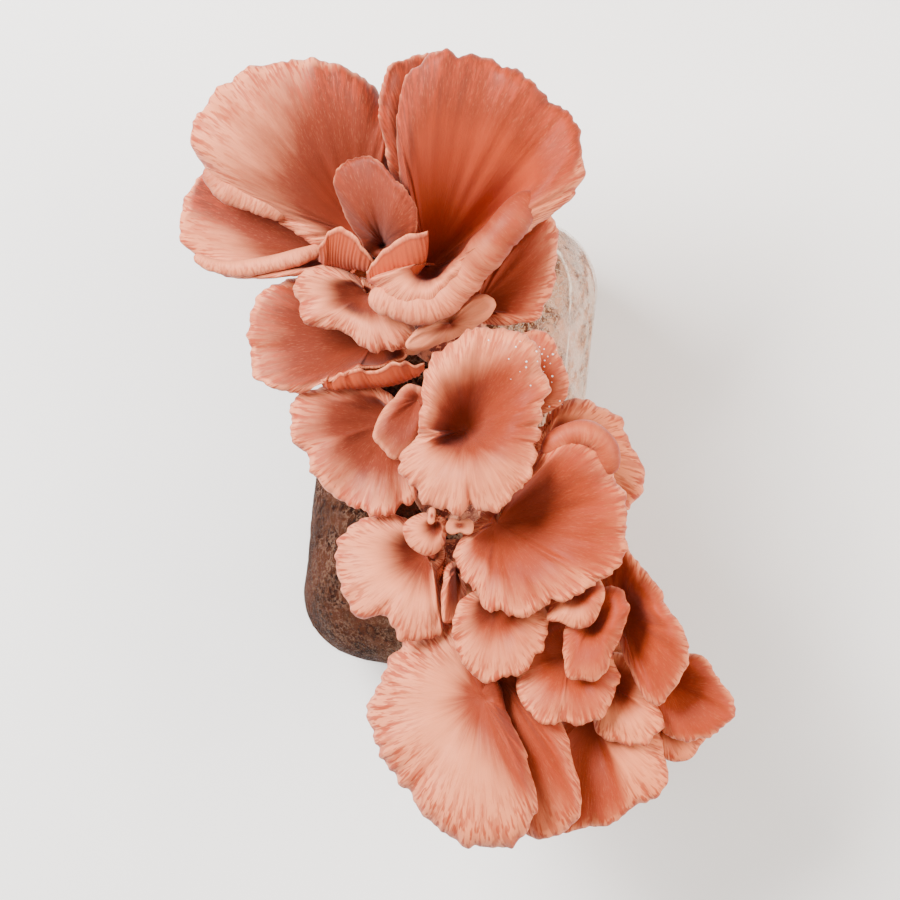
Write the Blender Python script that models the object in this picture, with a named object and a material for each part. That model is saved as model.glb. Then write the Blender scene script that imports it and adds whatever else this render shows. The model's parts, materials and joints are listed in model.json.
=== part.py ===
"""Pink oyster mushroom grow kit, lying on its back: a round block of grown-through sawdust in a clear
film bag, with a cluster of oyster mushrooms growing up out of the slit in its front.

Lengths are in millimetres until a mesh is made. +Y runs along the bag to its folded end, +Z is up,
and the origin is the middle of the flat strip that the bag lies on.
"""

import math

import bmesh
import bpy
import numpy as np

MM = 0.001

# The bag and the block in it.
BAG_RADIUS = 50.0
BAG_BOTTOM_Y = -88.0
BAG_TOP_Y = 86.0
AXIS_HEIGHT = 48.0
FILM = 0.6
FIT_GAP = 0.35
BLOCK_RADIUS = BAG_RADIUS - FILM - FIT_GAP
END_ROUNDING = 26.0
AROUND = 24
ALONG = 11

# The slit that the mushrooms grow from, torn wider on the right of its lower end.
SLIT_LEFT = math.radians(-30)
SLIT_RIGHT = math.radians(30)
TEAR_RIGHT = math.radians(45)
TEAR_TOP_Y = -28.0
SLIT_BOTTOM_Y = -74.0
SLIT_TOP_Y = 82.0

# Colours, as linear red, green and blue.
PINK_FLESH = (0.80, 0.38, 0.29)
ORANGE_FLESH = (0.76, 0.27, 0.14)
STEM_TISSUE = (0.86, 0.66, 0.56)
SAWDUST = (0.30, 0.17, 0.10)
CLEAR_FILM = (0.85, 0.80, 0.74)

# How finely the mushrooms are made, by size.
SPOKES = {"large": 17, "middle": 13, "small": 9}
KNOT_SPOKES = 12
UNDER_KNOT = 0.9

# Settling one cap on another: the gap aimed for, what of it may be lost, and how much to smooth.
CLEARANCE = 2.6
SPARE = 1.6
EVEN_OUT = 8

# Where on a cap's section its rings lie: 0 is the throat, 1 the crest and 2 the margin's tip.
UPPER_RINGS = (0.22, 0.6, 1.0, 1.5, 2.0)
UNDER_RINGS = (1.9, 0.95, 0.25)
STEM_RINGS = (0.45, 1.0)


class Base:
    """A knot of fused stems: a low dome on the block, as an ellipse seen from above."""

    def __init__(self, name, centre, half_width, half_length, dome):
        self.name = name
        self.centre = centre
        self.half_width = half_width
        self.half_length = half_length
        self.dome = dome

    def share(self, x, y):
        across = (x - self.centre[0]) / self.half_width
        along = (y - self.centre[1]) / self.half_length
        return across**2 + along**2


BASES = [
    Base("stem_knot_top", (-7, 49), 17, 24, 8),
    Base("stem_knot_middle", (3, -6), 19, 28, 8),
    Base("stem_knot_bottom", (10, -54), 24, 18, 6),
]


class Mushroom:
    """One oyster mushroom. Its rim is a ring of (angle, reach, rise) seen from its throat, with the
    roll of the margin and the bulge of an overhanging wall where they differ from the usual."""

    def __init__(self, name, size, throat, foot, rim, cup=0.35, stem=5.0, thick=(4.5, 2.0), roll=3.4):
        self.name = name
        self.size = size
        self.throat = np.array(throat, float)
        self.foot = foot
        self.cup = cup
        self.stem = stem
        self.thick = thick
        self.keys = np.array([self.full(key, roll) for key in sorted(rim)], float)
        self.lift = None

    @staticmethod
    def full(key, roll):
        angle, reach, rise, *more = key
        return (angle, reach, rise, more[0] if more else roll, more[1] if len(more) > 1 else 0)


# From the lowest mushroom of the heap to the highest.
MUSHROOMS = [
    Mushroom("cap_low_tip", "small", (88, -94, 97), (29, -65), [
        (-100, 11, 2), (-80, 16, 4), (-64, 18, 4), (-43, 18.5, 5), (-20, 18.5, 5), (15, 13, 5),
        (70, 7, 4), (130, 5.5, 3), (180, 5.5, 2), (-140, 6.5, 2),
    ], stem=2.6, thick=(3, 1.6), roll=2.6),
    Mushroom("fan_bottom_right", "middle", (62, -97, 98), (21, -68), [
        (-125, 30, 3), (-104, 44, 5), (-91, 41.5, 6), (-81, 39.5, 7), (-69, 39, 8), (-56, 37, 10),
        (-45, 37.5, 11), (-30, 36, 11), (-20, 32, 10), (5, 20, 6), (40, 10, 5), (100, 8, 4),
        (160, 8, 3), (-150, 14, 2),
    ], cup=0.4, stem=3.4),
    Mushroom("fan_right_tip", "middle", (86, -79, 102), (32, -57), [
        (-100, 15, 3), (-80, 21, 4), (-70, 24, 5), (-50, 27, 7), (-38, 29, 8), (-23, 30, 9),
        (-14, 28, 10), (5, 22, 10), (36, 17, 10), (60, 13, 8), (90, 9, 6), (150, 7, 4), (-150, 8, 3),
    ], cup=0.3, stem=3.2),
    Mushroom("cap_low_right", "middle", (68, -84, 103), (27, -60), [
        (-150, 9, 3), (-120, 14, 4), (-95, 20, 6), (-69, 23, 8), (-48, 25, 9), (-31, 25, 9),
        (-18, 20, 8), (10, 14, 6), (60, 8, 4), (130, 7, 3), (180, 7, 3),
    ], cup=0.2, stem=3.0),
    Mushroom("fan_bottom_gutter", "middle", (27, -85, 106), (13, -70), [
        (-115, 26, 3), (-88, 50, 5), (-76, 57, 7), (-70, 61, 10), (-61, 61, 12), (-53, 57, 14),
        (-47, 50, 16), (-43, 43, 16), (-36, 34, 15), (-10, 18, 11), (40, 9, 7, 2), (120, 8, 5, 1.6),
        (-160, 9, 4, 1.6),
    ], cup=0.45, stem=3.8),
    Mushroom("fan_bottom_left", "large", (8, -76, 110), (1, -65), [
        (-170, 19, 5), (-156, 28, 6), (-141, 35, 7), (-130, 42, 7), (-116, 48, 8), (-103, 53, 9),
        (-94, 61, 10), (-85, 67, 11), (-76, 74, 12), (-69, 74, 15), (-60, 71, 19), (-54, 64, 22, 5),
        (-49, 50, 21, 6), (-44, 32, 19, 6), (-38, 18, 14, 5), (-20, 10, 9, 3), (60, 8, 6, 2),
        (140, 10, 5, 2),
    ], cup=0.3, stem=5.2, thick=(5, 2.4), roll=4.2),
    Mushroom("fan_right_tall", "middle", (69, -58, 107), (32, -48), [
        (-90, 11, 4), (-78, 20, 7), (-69, 31, 10), (-62, 35, 12), (-49, 32, 17), (-33, 30, 21),
        (-16, 26, 23), (3, 21, 23), (28, 18, 21), (61, 19, 17), (85, 22, 14), (98, 26, 12),
        (115, 16, 8), (150, 7, 5), (-150, 7, 4), (-115, 8, 4),
    ], cup=0.25, stem=3.4),
    Mushroom("cap_scalloped", "middle", (51, -74, 109), (19, -61), [
        (-165, 20, 7), (-151, 23, 8), (-133, 25, 9), (-116, 26, 10), (-97, 27, 11), (-90, 24.5, 11),
        (-77, 27, 12), (-60, 27, 12), (-38, 23, 12), (-17, 21, 11), (0, 18, 10), (35, 9, 7),
        (90, 6.5, 5), (150, 8, 5),
    ], cup=0.15, stem=3.6),
    Mushroom("fan_lower_left", "large", (-4, -43, 110), (-8, -48), [
        (-117, 29, 13), (-110, 30, 14), (-101, 33, 14), (-87, 33.5, 14), (-76, 32, 13), (-68, 23, 12),
        (-58, 14, 9), (-30, 7.5, 6, 2), (20, 7, 6, 1.6), (70, 7, 6, 1.6), (110, 12, 6, 2.4), (135, 20, 8), (151, 27, 9),
        (168, 31, 10), (182, 33.5, 11), (198, 34.5, 12), (214, 35, 13), (231, 33.5, 14),
    ], cup=0.2, stem=5, thick=(5, 2.2)),
    Mushroom("sliver_lower", "small", (7, -48, 113), (3, -46), [
        (-110, 12, 4), (-95, 19, 5), (-80, 19, 5), (-65, 12, 4), (-30, 5, 3), (40, 4.5, 2),
        (110, 4.5, 2), (-175, 5, 3), (-140, 6, 3),
    ], stem=2.4, thick=(3, 1.6), roll=2.4, cup=0.2),
    Mushroom("cap_lower_middle", "middle", (23, -59, 114), (10, -55), [
        (-150, 19, 8), (-133, 22, 9), (-114, 25, 11), (-96, 28, 12), (-80, 28, 12), (-61, 27, 12),
        (-43, 25, 12), (-28, 22, 12), (-12, 19, 11), (15, 14, 9), (60, 8, 6), (120, 8, 5), (180, 14, 6),
    ], cup=0.15, stem=3.8),
    Mushroom("cap_orange", "middle", (57, -61, 117), (25, -51), [
        (-150, 12, 6), (-120, 18, 8), (-105, 23, 9), (-90, 22, 10), (-72, 20, 11), (-38, 15, 13),
        (0, 13, 15), (25, 14, 15), (55, 16, 13), (75, 12, 10), (105, 6, 6), (160, 7, 5),
    ], cup=0.15, stem=3.0, thick=(4, 1.9), roll=3),
    Mushroom("cap_lower_right", "small", (51, -49, 121), (22, -43), [
        (-141, 14, 7), (-128, 17, 8), (-112, 16, 9), (-86, 16, 9), (-62, 15, 9), (-29, 12, 9),
        (0, 9, 8), (60, 6, 5), (120, 5.5, 4), (180, 7, 5),
    ], cup=0.1, stem=2.8, thick=(3.2, 1.7), roll=2.8),
    Mushroom("fan_far_right", "middle", (36, 0, 107), (18, 4), [
        (-60, 16, 6), (-45, 28, 8), (-31, 38, 9), (-19, 39, 11), (-8, 37, 12), (8, 32, 14),
        (31, 29, 15), (57, 24, 15), (81, 21, 14), (105, 12, 9), (150, 7, 5), (-150, 7, 4), (-100, 8, 4),
    ], cup=0.3, stem=3.8),
    Mushroom("cap_behind_funnel", "middle", (19, 15, 110), (14, 15), [
        (-60, 8, 5), (-20, 14, 9), (10, 22, 14), (29, 25, 16), (48, 27, 18), (63, 29, 19),
        (78, 28, 18), (95, 18, 13), (130, 8, 7), (-170, 6.5, 5), (-110, 6.5, 5),
    ], cup=0.25, stem=3.4),
    Mushroom("fan_middle_left", "large", (-21, 4, 108), (-11, 2), [
        (-109, 36, 12), (-93, 35, 13), (-77, 34, 13), (-68, 30, 13), (-50, 16, 10), (-10, 7, 6),
        (60, 7, 6), (110, 12, 7), (128, 17, 7), (147, 24, 7), (163, 31, 7), (174, 37, 8), (189, 38, 9),
        (198, 38, 10), (209, 34, 11), (220, 36, 11), (235, 35, 11),
    ], cup=0.25, stem=4.6, thick=(5, 2.2)),
    Mushroom("young_cap_middle", "small", (-13, 12, 121), (-8, 13), [
        (-110, 24, 9), (-95, 22, 9), (-75, 15, 8), (-40, 7, 5), (30, 5, 3), (90, 6, 3), (122, 8, 4),
        (175, 10, 6), (202, 15, 8), (217, 20, 9), (229, 23, 9),
    ], cup=0.4, stem=3, thick=(3.4, 2.2), roll=2.8),
    Mushroom("fan_left", "large", (-31, 32, 107), (-17, 33), [
        (-172, 45.5, 9), (-158, 45, 9), (-147, 40, 9), (-139, 34, 9), (-132, 25, 10, 2.6, 1),
        (-122, 17, 12, 1.8, 1), (-108, 12, 13, 1.6, 2), (-85, 11, 13, 1.6, 2), (-50, 11, 13, 1.6, 2),
        (-20, 14, 11, 1.8, 1), (5, 9, 8, 2), (50, 7, 6), (100, 10, 7), (125, 21, 7), (143, 34, 7),
        (154, 40, 8), (162, 44, 9), (168, 47, 9), (177, 47, 9),
    ], cup=0.35, stem=4.5, thick=(4.5, 2.0)),
    Mushroom("shelf_left", "large", (-47, 60, 106), (-20, 51), [
        (-178, 55, 7), (-171, 50, 7), (-164, 43, 7, 4), (-159, 32, 8, 4.5), (-150, 20, 9, 4),
        (-136, 12, 9, 3), (-105, 8, 8, 1.8, 1), (-60, 7, 8, 1.8, 1), (-20, 7, 8, 1.8, 1),
        (10, 8, 6, 2), (50, 7, 5), (100, 16, 5), (130, 36, 6), (146, 53, 6), (158, 59, 6),
        (168, 60, 6), (175, 59, 6),
    ], cup=0.4, stem=4, thick=(4.5, 2.2)),
    Mushroom("cap_upper_left", "middle", (-35, 48, 121), (-19, 42), [
        (-180, 27, 7), (-163, 27, 8), (-149, 26, 9), (-137, 22, 9), (-117, 18, 9), (-96, 20, 11, 4.2),
        (-76, 24, 13, 4.8), (-56, 25, 13, 4.8), (-36, 26, 12, 4.2), (-15, 14, 9), (20, 7, 5), (70, 7, 4),
        (116, 8, 4), (147, 16, 5), (165, 24, 6),
    ], cup=0.25, stem=3.4, thick=(4, 2)),
    Mushroom("fan_top_left", "large", (-40, 69, 119), (-15, 69), [
        (70, 30, 17), (80, 43, 24), (89, 52, 28), (98, 57, 30), (107, 61, 30), (116, 65, 30),
        (125, 68, 29), (135, 70, 28), (144, 72, 26), (152, 71, 23), (159, 66, 19), (165, 58, 14),
        (169, 47, 11), (175, 32, 7), (192, 20, 4), (215, 12, 4), (260, 8, 4), (320, 7, 4), (20, 8, 5),
        (50, 16, 10),
    ], cup=0.35, stem=5, thick=(5, 2.2), roll=3.6),
    Mushroom("fan_top_back", "middle", (-17, 82, 108), (-4, 70), [
        (80, 50, 24), (95, 53, 24), (108, 51, 22), (119, 42, 18), (135, 24, 12), (170, 9, 7),
        (-120, 7, 4), (-60, 7, 4), (0, 8, 6), (45, 26, 16),
    ], cup=0.3, stem=3.8),
    Mushroom("fan_upper_right", "middle", (5, 48, 113), (6, 57), [
        (-60, 8, 5), (-19, 16, 9), (-7, 23, 11), (7, 25, 13), (27, 30, 16), (42, 36, 19), (56, 42, 22),
        (72, 26, 16), (100, 8, 8), (160, 6, 5), (-110, 6, 4),
    ], cup=0.3, stem=3.4),
    Mushroom("bud_upper", "small", (2, 40, 126), (2, 39), [
        (8, 12, 3), (26, 15.5, 3.4), (42, 15, 3.4), (62, 10, 3), (110, 4.6, 2), (180, 4.4, 2),
        (-110, 4.4, 2), (-40, 5.5, 2.4),
    ], stem=1.8, thick=(2.4, 1.3), roll=1.9, cup=0.1),
    Mushroom("funnel_top", "large", (-14, 60, 112), (-6, 52), [
        (-157, 25, 33, 5), (-146, 26, 32, 6), (-122, 24, 31, 6.5), (-90, 22, 31, 6.5),
        (-60, 20, 32, 6.5), (-37, 18, 33, 6.5), (3, 22, 35, 6.5), (16, 32, 39, 6.5), (25, 45, 45, 5.5),
        (31, 59, 47, 5), (37, 63, 46), (46, 68, 46), (53, 70.5, 46), (63, 71, 47), (72, 72, 47),
        (82, 73, 47), (90, 73, 47), (96, 70, 45), (103, 64, 41), (108, 52, 36), (113, 36, 29),
        (120, 16, 17), (150, 8, 12), (182, 10, 22),
    ], cup=0.2, stem=6, thick=(5, 2.4), roll=3.8),
    Mushroom("young_cap_top", "middle", (-31, 66, 124), (-19, 60), [
        (95, 28, 24), (105, 30, 24), (123, 31, 22), (134, 26, 18), (148, 17, 13), (158, 16, 10),
        (170, 20, 10), (182, 22, 9), (195, 21, 8), (206, 17, 6, 1.6, 1), (225, 10, 5, 1.6, 1),
        (260, 7, 6, 1.6, 1), (310, 8, 7, 1.6, 1), (335, 13, 9, 1.8), (0, 14, 11, 1.8), (21, 14, 13, 1.8),
        (35, 11, 12), (57, 15, 15), (80, 23, 22),
    ], cup=0.45, stem=2.8, thick=(3.2, 1.8), roll=2.6),
    Mushroom("fan_right", "large", (20, -29, 113), (14, -19), [
        (-157, 14, 13), (-141, 20, 15), (-121, 23, 17), (-104, 27, 18), (-92, 31, 19), (-78, 33, 20),
        (-57, 33, 20), (-40, 32, 21), (-29, 35, 23), (-20, 44, 25), (-10, 46, 27), (4, 47, 29),
        (16, 47, 31), (26, 48, 33), (37, 48, 36, 5), (46, 49, 38, 6), (56, 44, 38, 6), (63, 32, 36, 5.5),
        (72, 20, 25), (100, 9, 12), (160, 8, 9),
    ], cup=0.2, stem=5, thick=(5, 2.4), roll=3.8),
    Mushroom("cap_small_centre", "small", (-1.5, -32.4, 120), (-3, -30.5), [
        (-66, 9, 5), (-90, 11.5, 6), (-120, 13, 7), (-146, 13.5, 7), (-168, 13.5, 7), (151, 9.5, 6),
        (90, 5, 3), (20, 5, 3), (-30, 6, 4),
    ], stem=2.4, thick=(3, 1.7), roll=2.6, cup=0.15),
    Mushroom("cup_centre", "small", (6, -32, 127), (4.5, -29.5), [
        (-70, 6, 5), (-20, 7, 6), (40, 5, 5), (110, 4.5, 3), (180, 6, 5), (-130, 6.5, 5),
    ], stem=2.2, thick=(2.4, 1.4), roll=2.0, cup=0.3),
    Mushroom("bud_centre", "small", (-5, -25.4, 128), (-5, -24.2), [
        (-120, 6.4, 2.2), (-90, 6.8, 2.4), (-50, 5.6, 2.2), (0, 4.2, 1.8), (90, 4, 1.8), (180, 4.4, 1.8),
    ], stem=1.7, thick=(2.2, 1.2), roll=1.8, cup=0.1),
    Mushroom("funnel_centre", "large", (5, 3, 121), (4, 2), [
        (-90, 32, 27), (-74, 32, 28), (-53, 32, 29), (-35, 31, 30), (-17, 29, 32), (6, 29, 34),
        (22, 30, 35), (32, 33, 35), (44, 36, 36), (56, 38, 37), (66, 39, 37), (76, 38, 37), (88, 36, 37),
        (98, 33, 36), (110, 30, 35), (124, 27, 34), (138, 22, 33), (160, 17, 32, 3.2), (182, 15, 30, 2.8),
        (196, 18, 27), (204, 25, 25, 4.6), (215, 28, 24, 4.6), (233, 30, 25, 4.6), (252, 31, 26, 4.4),
    ], cup=0.0, stem=6.5, thick=(5, 2.6), roll=4.2),
]


def around(angles, keys, column):
    """One column of a rim's keys at these angles, in degrees: a smooth curve that never overshoots."""
    at = np.concatenate([keys[:, 0], [keys[0, 0] + 360]])
    value = np.concatenate([keys[:, column], [keys[0, column]]])
    step = np.diff(at)
    slope = np.diff(value) / step
    before, after = np.roll(slope, 1), slope
    same = before * after > 0
    tangent = np.where(same, 2 * before * after / np.where(same, before + after, 1), 0)
    tangent = np.append(tangent, tangent[0])
    turned = (np.asarray(angles) - at[0]) % 360 + at[0]
    k = np.clip(np.searchsorted(at, turned, side="right") - 1, 0, len(step) - 1)
    t = (turned - at[k]) / step[k]
    start, end = value[k], value[k + 1]
    return (
        (1 + 2 * t) * (1 - t) ** 2 * start
        + t**2 * (3 - 2 * t) * end
        + step[k] * t * (1 - t) * ((1 - t) * tangent[k] - t * tangent[k + 1])
    )


def spoke_angles(mushroom, count):
    """Angles of the spokes, closer together where the rim is far away."""
    fine = np.linspace(0, 360, 1441)
    reach = around(fine, mushroom.keys, 1)
    edge = np.hypot(reach, np.gradient(reach, np.radians(fine)))
    weight = edge + 0.55 * edge.mean()
    total = np.concatenate([[0], np.cumsum((weight[1:] + weight[:-1]) / 2)])
    return np.interp(np.arange(count) / count * total[-1], total, fine)


def section(mushroom, angles, place):
    """Radius, height and tangent of the upper skin at one place on the section, for each angle."""
    reach, rise, roll, bulge = (around(angles, mushroom.keys, k) for k in (1, 2, 3, 4))
    cup = mushroom.cup
    crest = np.maximum(reach - roll, 0.3 * reach)
    corners = [
        (0 * reach, 0 * rise),
        ((0.12 + 0.36 * cup) * crest + bulge, (0.62 - 0.5 * cup) * rise),
        ((0.55 + 0.2 * cup) * crest + 1.3 * bulge, (1.04 - 0.2 * cup) * rise),
        (crest, rise),
    ]
    t = min(place, 1.0)
    share = ((1 - t) ** 3, 3 * t * (1 - t) ** 2, 3 * t**2 * (1 - t), t**3)
    radius = sum(s * c[0] for s, c in zip(share, corners))
    height = sum(s * c[1] for s, c in zip(share, corners))
    legs = [(b[0] - a[0], b[1] - a[1]) for a, b in zip(corners, corners[1:])]
    pull = ((1 - t) ** 2, 2 * t * (1 - t), t**2)
    along = sum(p * leg[0] for p, leg in zip(pull, legs))
    up = sum(p * leg[1] for p, leg in zip(pull, legs))
    size = np.maximum(np.hypot(along, up), 1e-6)
    along, up = along / size, up / size
    if place > 1:
        turn = (place - 1) * np.radians(118) * np.where(bulge > 0.5, 0.35, 1)
        start = np.arctan2(up, along)
        radius = radius + roll * (np.sin(turn - start) + np.sin(start))
        height = height + roll * (np.cos(turn - start) - np.cos(start))
        along, up = np.cos(start - turn), np.sin(start - turn)
    return radius, height, along, up


def skin_ring(mushroom, angles, place, under):
    """A ring of points on the cap's upper skin, or on its under side."""
    radius, height, along, up = section(mushroom, angles, place)
    if under:
        depth = np.interp(place, (0, 1.2, 2), (mushroom.thick[0], mushroom.thick[1], mushroom.thick[1]))
        radius = radius + depth * up
        height = height - depth * along
    turn = np.radians(angles)
    ring = np.stack([radius * np.cos(turn), radius * np.sin(turn), height], axis=1) + mushroom.throat
    ring[:, 2] += lift_at(mushroom, angles, place)
    return ring


def lift_at(mushroom, angles, place):
    """How far the cap is raised there to rest on those below it."""
    if mushroom.lift is None:
        return 0
    places, steps, field = mushroom.lift
    low = np.clip(np.searchsorted(places, place) - 1, 0, len(places) - 2)
    share = (place - places[low]) / (places[low + 1] - places[low])
    row = (1 - share) * field[low] + share * field[low + 1]
    return np.interp(np.asarray(angles) % 360, np.append(steps, 360), np.append(row, row[0]))


def block_height(x, y):
    return AXIS_HEIGHT + math.sqrt(max(bag_radius(y, BLOCK_RADIUS) ** 2 - x**2, 0))


def base_height(x, y):
    """Height of the knots of stems, or of the block where there is none."""
    domes = [base.dome * (1 - base.share(x, y)) for base in BASES]
    return block_height(x, y) + UNDER_KNOT + max(0, *domes)


def turned_from_up(direction):
    """The two axes across a stem that runs in this direction, least twisted from X and Y."""
    a, b, c = direction
    k = 1 / (1 + max(c, -0.95))
    return np.array([1 - a * a * k, -a * b * k, -a]), np.array([-a * b * k, 1 - b * b * k, -b])


def stem_rings(mushroom, angles, top_ring, places):
    """Rings from under the cap down to the foot, bending over on the way."""
    start = top_ring.mean(axis=0)
    x, y = mushroom.foot
    foot = np.array([x, y, base_height(x, y)])
    span = np.linalg.norm(foot - start)
    leave = foot - start + np.array([0, 0, -0.6 * span])
    bend = start + leave / np.linalg.norm(leave) * 0.5 * span
    own = np.hypot(*(top_ring - start)[:, :2].T)
    even = np.arange(len(angles)) / len(angles) * 360 + angles[0]
    lean = np.array([x, 0, block_height(x, y) - AXIS_HEIGHT])
    lean = lean / np.linalg.norm(lean)
    rings = []
    for share in places:
        centre = (1 - share) ** 2 * start + 2 * share * (1 - share) * bend + share**2 * foot
        down = (1 - share) * (bend - start) + share * (foot - bend)
        up = -down / np.linalg.norm(down)
        up = (1 - share) * np.array([0, 0, 1]) * (1 - share) + 2 * share * (1 - share) * up + share**2 * lean
        first, second = turned_from_up(up / np.linalg.norm(up))
        turn = np.radians((1 - share) * angles + share * even)
        radius = (1 - share) ** 2 * own + (1 - (1 - share) ** 2) * mushroom.stem
        rings.append(
            centre
            + (radius * np.cos(turn))[:, None] * first
            + (radius * np.sin(turn))[:, None] * second
        )
    sunk = max(base_height(p[0], p[1]) - p[2] for p in [foot, *rings[-1]]) + FIT_GAP
    raise_by = np.array([0, 0, sunk])
    return [ring + share**2 * raise_by for ring, share in zip(rings, places)], foot + raise_by


def lattice(mushroom, angles, upper, under, stem):
    """The mushroom as rings from its throat, over the margin, back under and down to the foot."""
    rings = [skin_ring(mushroom, angles, place, False) for place in upper]
    rings += [skin_ring(mushroom, angles, place, True) for place in under]
    more, foot = stem_rings(mushroom, angles, rings[-1], stem)
    top = mushroom.throat + np.array([0, 0, np.mean(lift_at(mushroom, angles, 0))])
    return top, rings + more, foot


class HeightMap:
    """The highest point so far over each square of the ground, in steps of 1.5 mm."""

    STEP = 1.5
    LOW = np.array([-125.0, -165.0])
    CELLS = (167, 215)

    def __init__(self):
        self.height = np.zeros(self.CELLS)

    def cells(self, points):
        at = np.floor((points[:, :2] - self.LOW) / self.STEP).astype(int)
        return np.clip(at[:, 0], 0, self.CELLS[0] - 1), np.clip(at[:, 1], 0, self.CELLS[1] - 1)

    def add(self, rings):
        grid = np.array(rings)
        grid = np.concatenate([grid, grid[:, :1]], axis=1)
        parts = np.linspace(0, 1, 7)
        for a in parts:
            for b in parts:
                across = (1 - a) * grid[:-1] + a * grid[1:]
                points = ((1 - b) * across[:, :-1] + b * across[:, 1:]).reshape(-1, 3)
                np.maximum.at(self.height, self.cells(points), points[:, 2])

    def under(self, points):
        """The height under each point, over the square that it is in and those next to it."""
        i, j = self.cells(points)
        found = [
            self.height[np.clip(i + di, 0, self.CELLS[0] - 1), np.clip(j + dj, 0, self.CELLS[1] - 1)]
            for di in (-1, 0, 1)
            for dj in (-1, 0, 1)
        ]
        return np.max(found, axis=0)


def blurred(field):
    """Each value averaged with those next to it, round the cap and out along it."""
    wide = (np.roll(field, 1, axis=1) + field + np.roll(field, -1, axis=1)) / 3
    padded = np.concatenate([wide[:1], wide, wide[-1:]])
    return (padded[:-2] + padded[1:-1] + padded[2:]) / 3


def settle(mushrooms):
    """Raises each cap where it would sink into those below it, smoothly over the whole cap."""
    ground = HeightMap()
    steps = np.arange(0, 360, 5.0)
    places = np.array([0, 0.12, 0.25, 0.4, 0.55, 0.7, 0.85, 1.0, 1.15, 1.4, 1.7, 2.0])
    for mushroom in mushrooms:
        need = []
        for place in places:
            low = skin_ring(mushroom, steps, max(place, 0.12), True)
            top = skin_ring(mushroom, steps, max(place, 0.12), False)
            floor = np.maximum(ground.under(low), ground.under(top))
            need.append(floor + CLEARANCE - np.minimum(low, top)[:, 2])
        need = np.maximum(np.array(need), 0)
        need[0] = need[1]
        field = need
        for _ in range(40):
            field = np.maximum(need, blurred(field))
        for _ in range(EVEN_OUT):
            field = blurred(field)
        field = field + max(np.max(need - field) - SPARE, 0)
        field[0] = field[1].mean()
        mushroom.lift = (places, steps, field)
        angles = spoke_angles(mushroom, 48)
        inner = (0.1, 0.25, 0.4, 0.55, 0.7, 0.85, 1.0, 1.2, 1.5, 2.0)
        _, rings, _ = lattice(mushroom, angles, inner, (2.0, 1.0, 0.5, 0.16), (0.25, 0.5, 0.75, 1.0))
        ground.add(rings)


def new_object(name, bm, material):
    """Makes a mesh object, in metres, from a bmesh in millimetres."""
    bmesh.ops.scale(bm, vec=(MM, MM, MM), verts=bm.verts)
    mesh = bpy.data.meshes.new(name)
    bm.to_mesh(mesh)
    bm.free()
    mesh.shade_smooth()
    mesh.materials.append(material)
    obj = bpy.data.objects.new(name, mesh)
    bpy.context.scene.collection.objects.link(obj)
    return obj


def skin(rings, first=None, last=None):
    """A bmesh over closed rings of points, each with the same number, with a point at either end."""
    bm = bmesh.new()
    rows = [[bm.verts.new(p) for p in ring] for ring in rings]
    count = len(rows[0])
    for a, b in zip(rows, rows[1:]):
        for k in range(count):
            n = (k + 1) % count
            bm.faces.new((a[k], b[k], b[n], a[n]))
    for row, point, back in ((rows[0], first, False), (rows[-1], last, True)):
        if point is None:
            continue
        tip = bm.verts.new(point)
        for k in range(count):
            n = (k + 1) % count
            bm.faces.new((row[n], row[k], tip) if back else (row[k], row[n], tip))
    bmesh.ops.recalc_face_normals(bm, faces=bm.faces)
    return bm


def material(name, colour, roughness):
    made = bpy.data.materials.new(name)
    made.use_nodes = True
    shader = made.node_tree.nodes["Principled BSDF"]
    shader.inputs["Base Color"].default_value = (*colour, 1)
    shader.inputs["Roughness"].default_value = roughness
    shader.inputs["Metallic"].default_value = 0
    return made


def bag_radius(y, radius):
    """The radius of the filled bag along its length: full, with rounded ends."""
    inset = BAG_RADIUS - radius
    from_end = min(y - (BAG_BOTTOM_Y + inset), BAG_TOP_Y - inset - y)
    if from_end >= END_ROUNDING:
        return radius
    share = 1 - max(from_end, 0) / END_ROUNDING
    return radius - END_ROUNDING * (1 - math.sqrt(max(1 - share**2, 0)))


def bag_ring(y, radius, count):
    """A ring round the bag, flattened where the bag lies on it."""
    size = bag_radius(y, radius)
    floor = BAG_RADIUS - radius
    ring = []
    for k in range(count):
        turn = math.tau * k / count + math.pi / 2
        x, z = size * math.cos(turn), AXIS_HEIGHT + size * math.sin(turn)
        ring.append((x, y, max(z, floor)))
    return ring


def bag_levels(radius):
    """Where along the bag its rings lie, closer together over the rounded ends."""
    inset = BAG_RADIUS - radius
    low, high = BAG_BOTTOM_Y + inset, BAG_TOP_Y - inset
    ends = [END_ROUNDING * (1 - math.cos(math.radians(a))) for a in (0, 35, 65, 90)]
    middle = np.linspace(low + END_ROUNDING, high - END_ROUNDING, ALONG - 6)
    return [low + e for e in ends[:-1]] + list(middle) + [high - e for e in reversed(ends[:-1])]


def make_block():
    levels = bag_levels(BLOCK_RADIUS)
    rings = [bag_ring(y, BLOCK_RADIUS, AROUND) for y in levels]
    ends = [(0, levels[0], AXIS_HEIGHT), (0, levels[-1], AXIS_HEIGHT)]
    look = material("sawdust_and_mycelium", SAWDUST, 0.95)
    new_object("sawdust_block", skin(rings, *ends), look)


def make_bag():
    """The film: one sheet round the block, open over the slit, given its thickness inwards."""
    levels = bag_levels(BAG_RADIUS)
    rings = [bag_ring(y, BAG_RADIUS, AROUND) for y in levels]
    bm = skin(rings, (0, levels[0], AXIS_HEIGHT), (0, levels[-1], AXIS_HEIGHT))
    opened = [f for f in bm.faces if in_slit(f.calc_center_median())]
    bmesh.ops.delete(bm, geom=opened, context="FACES")
    bag = new_object("film_bag", bm, material("clear_film", CLEAR_FILM, 0.2))
    wall = bag.modifiers.new("film", "SOLIDIFY")
    wall.thickness = FILM * MM
    wall.offset = -1
    wall.use_even_offset = True


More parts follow.
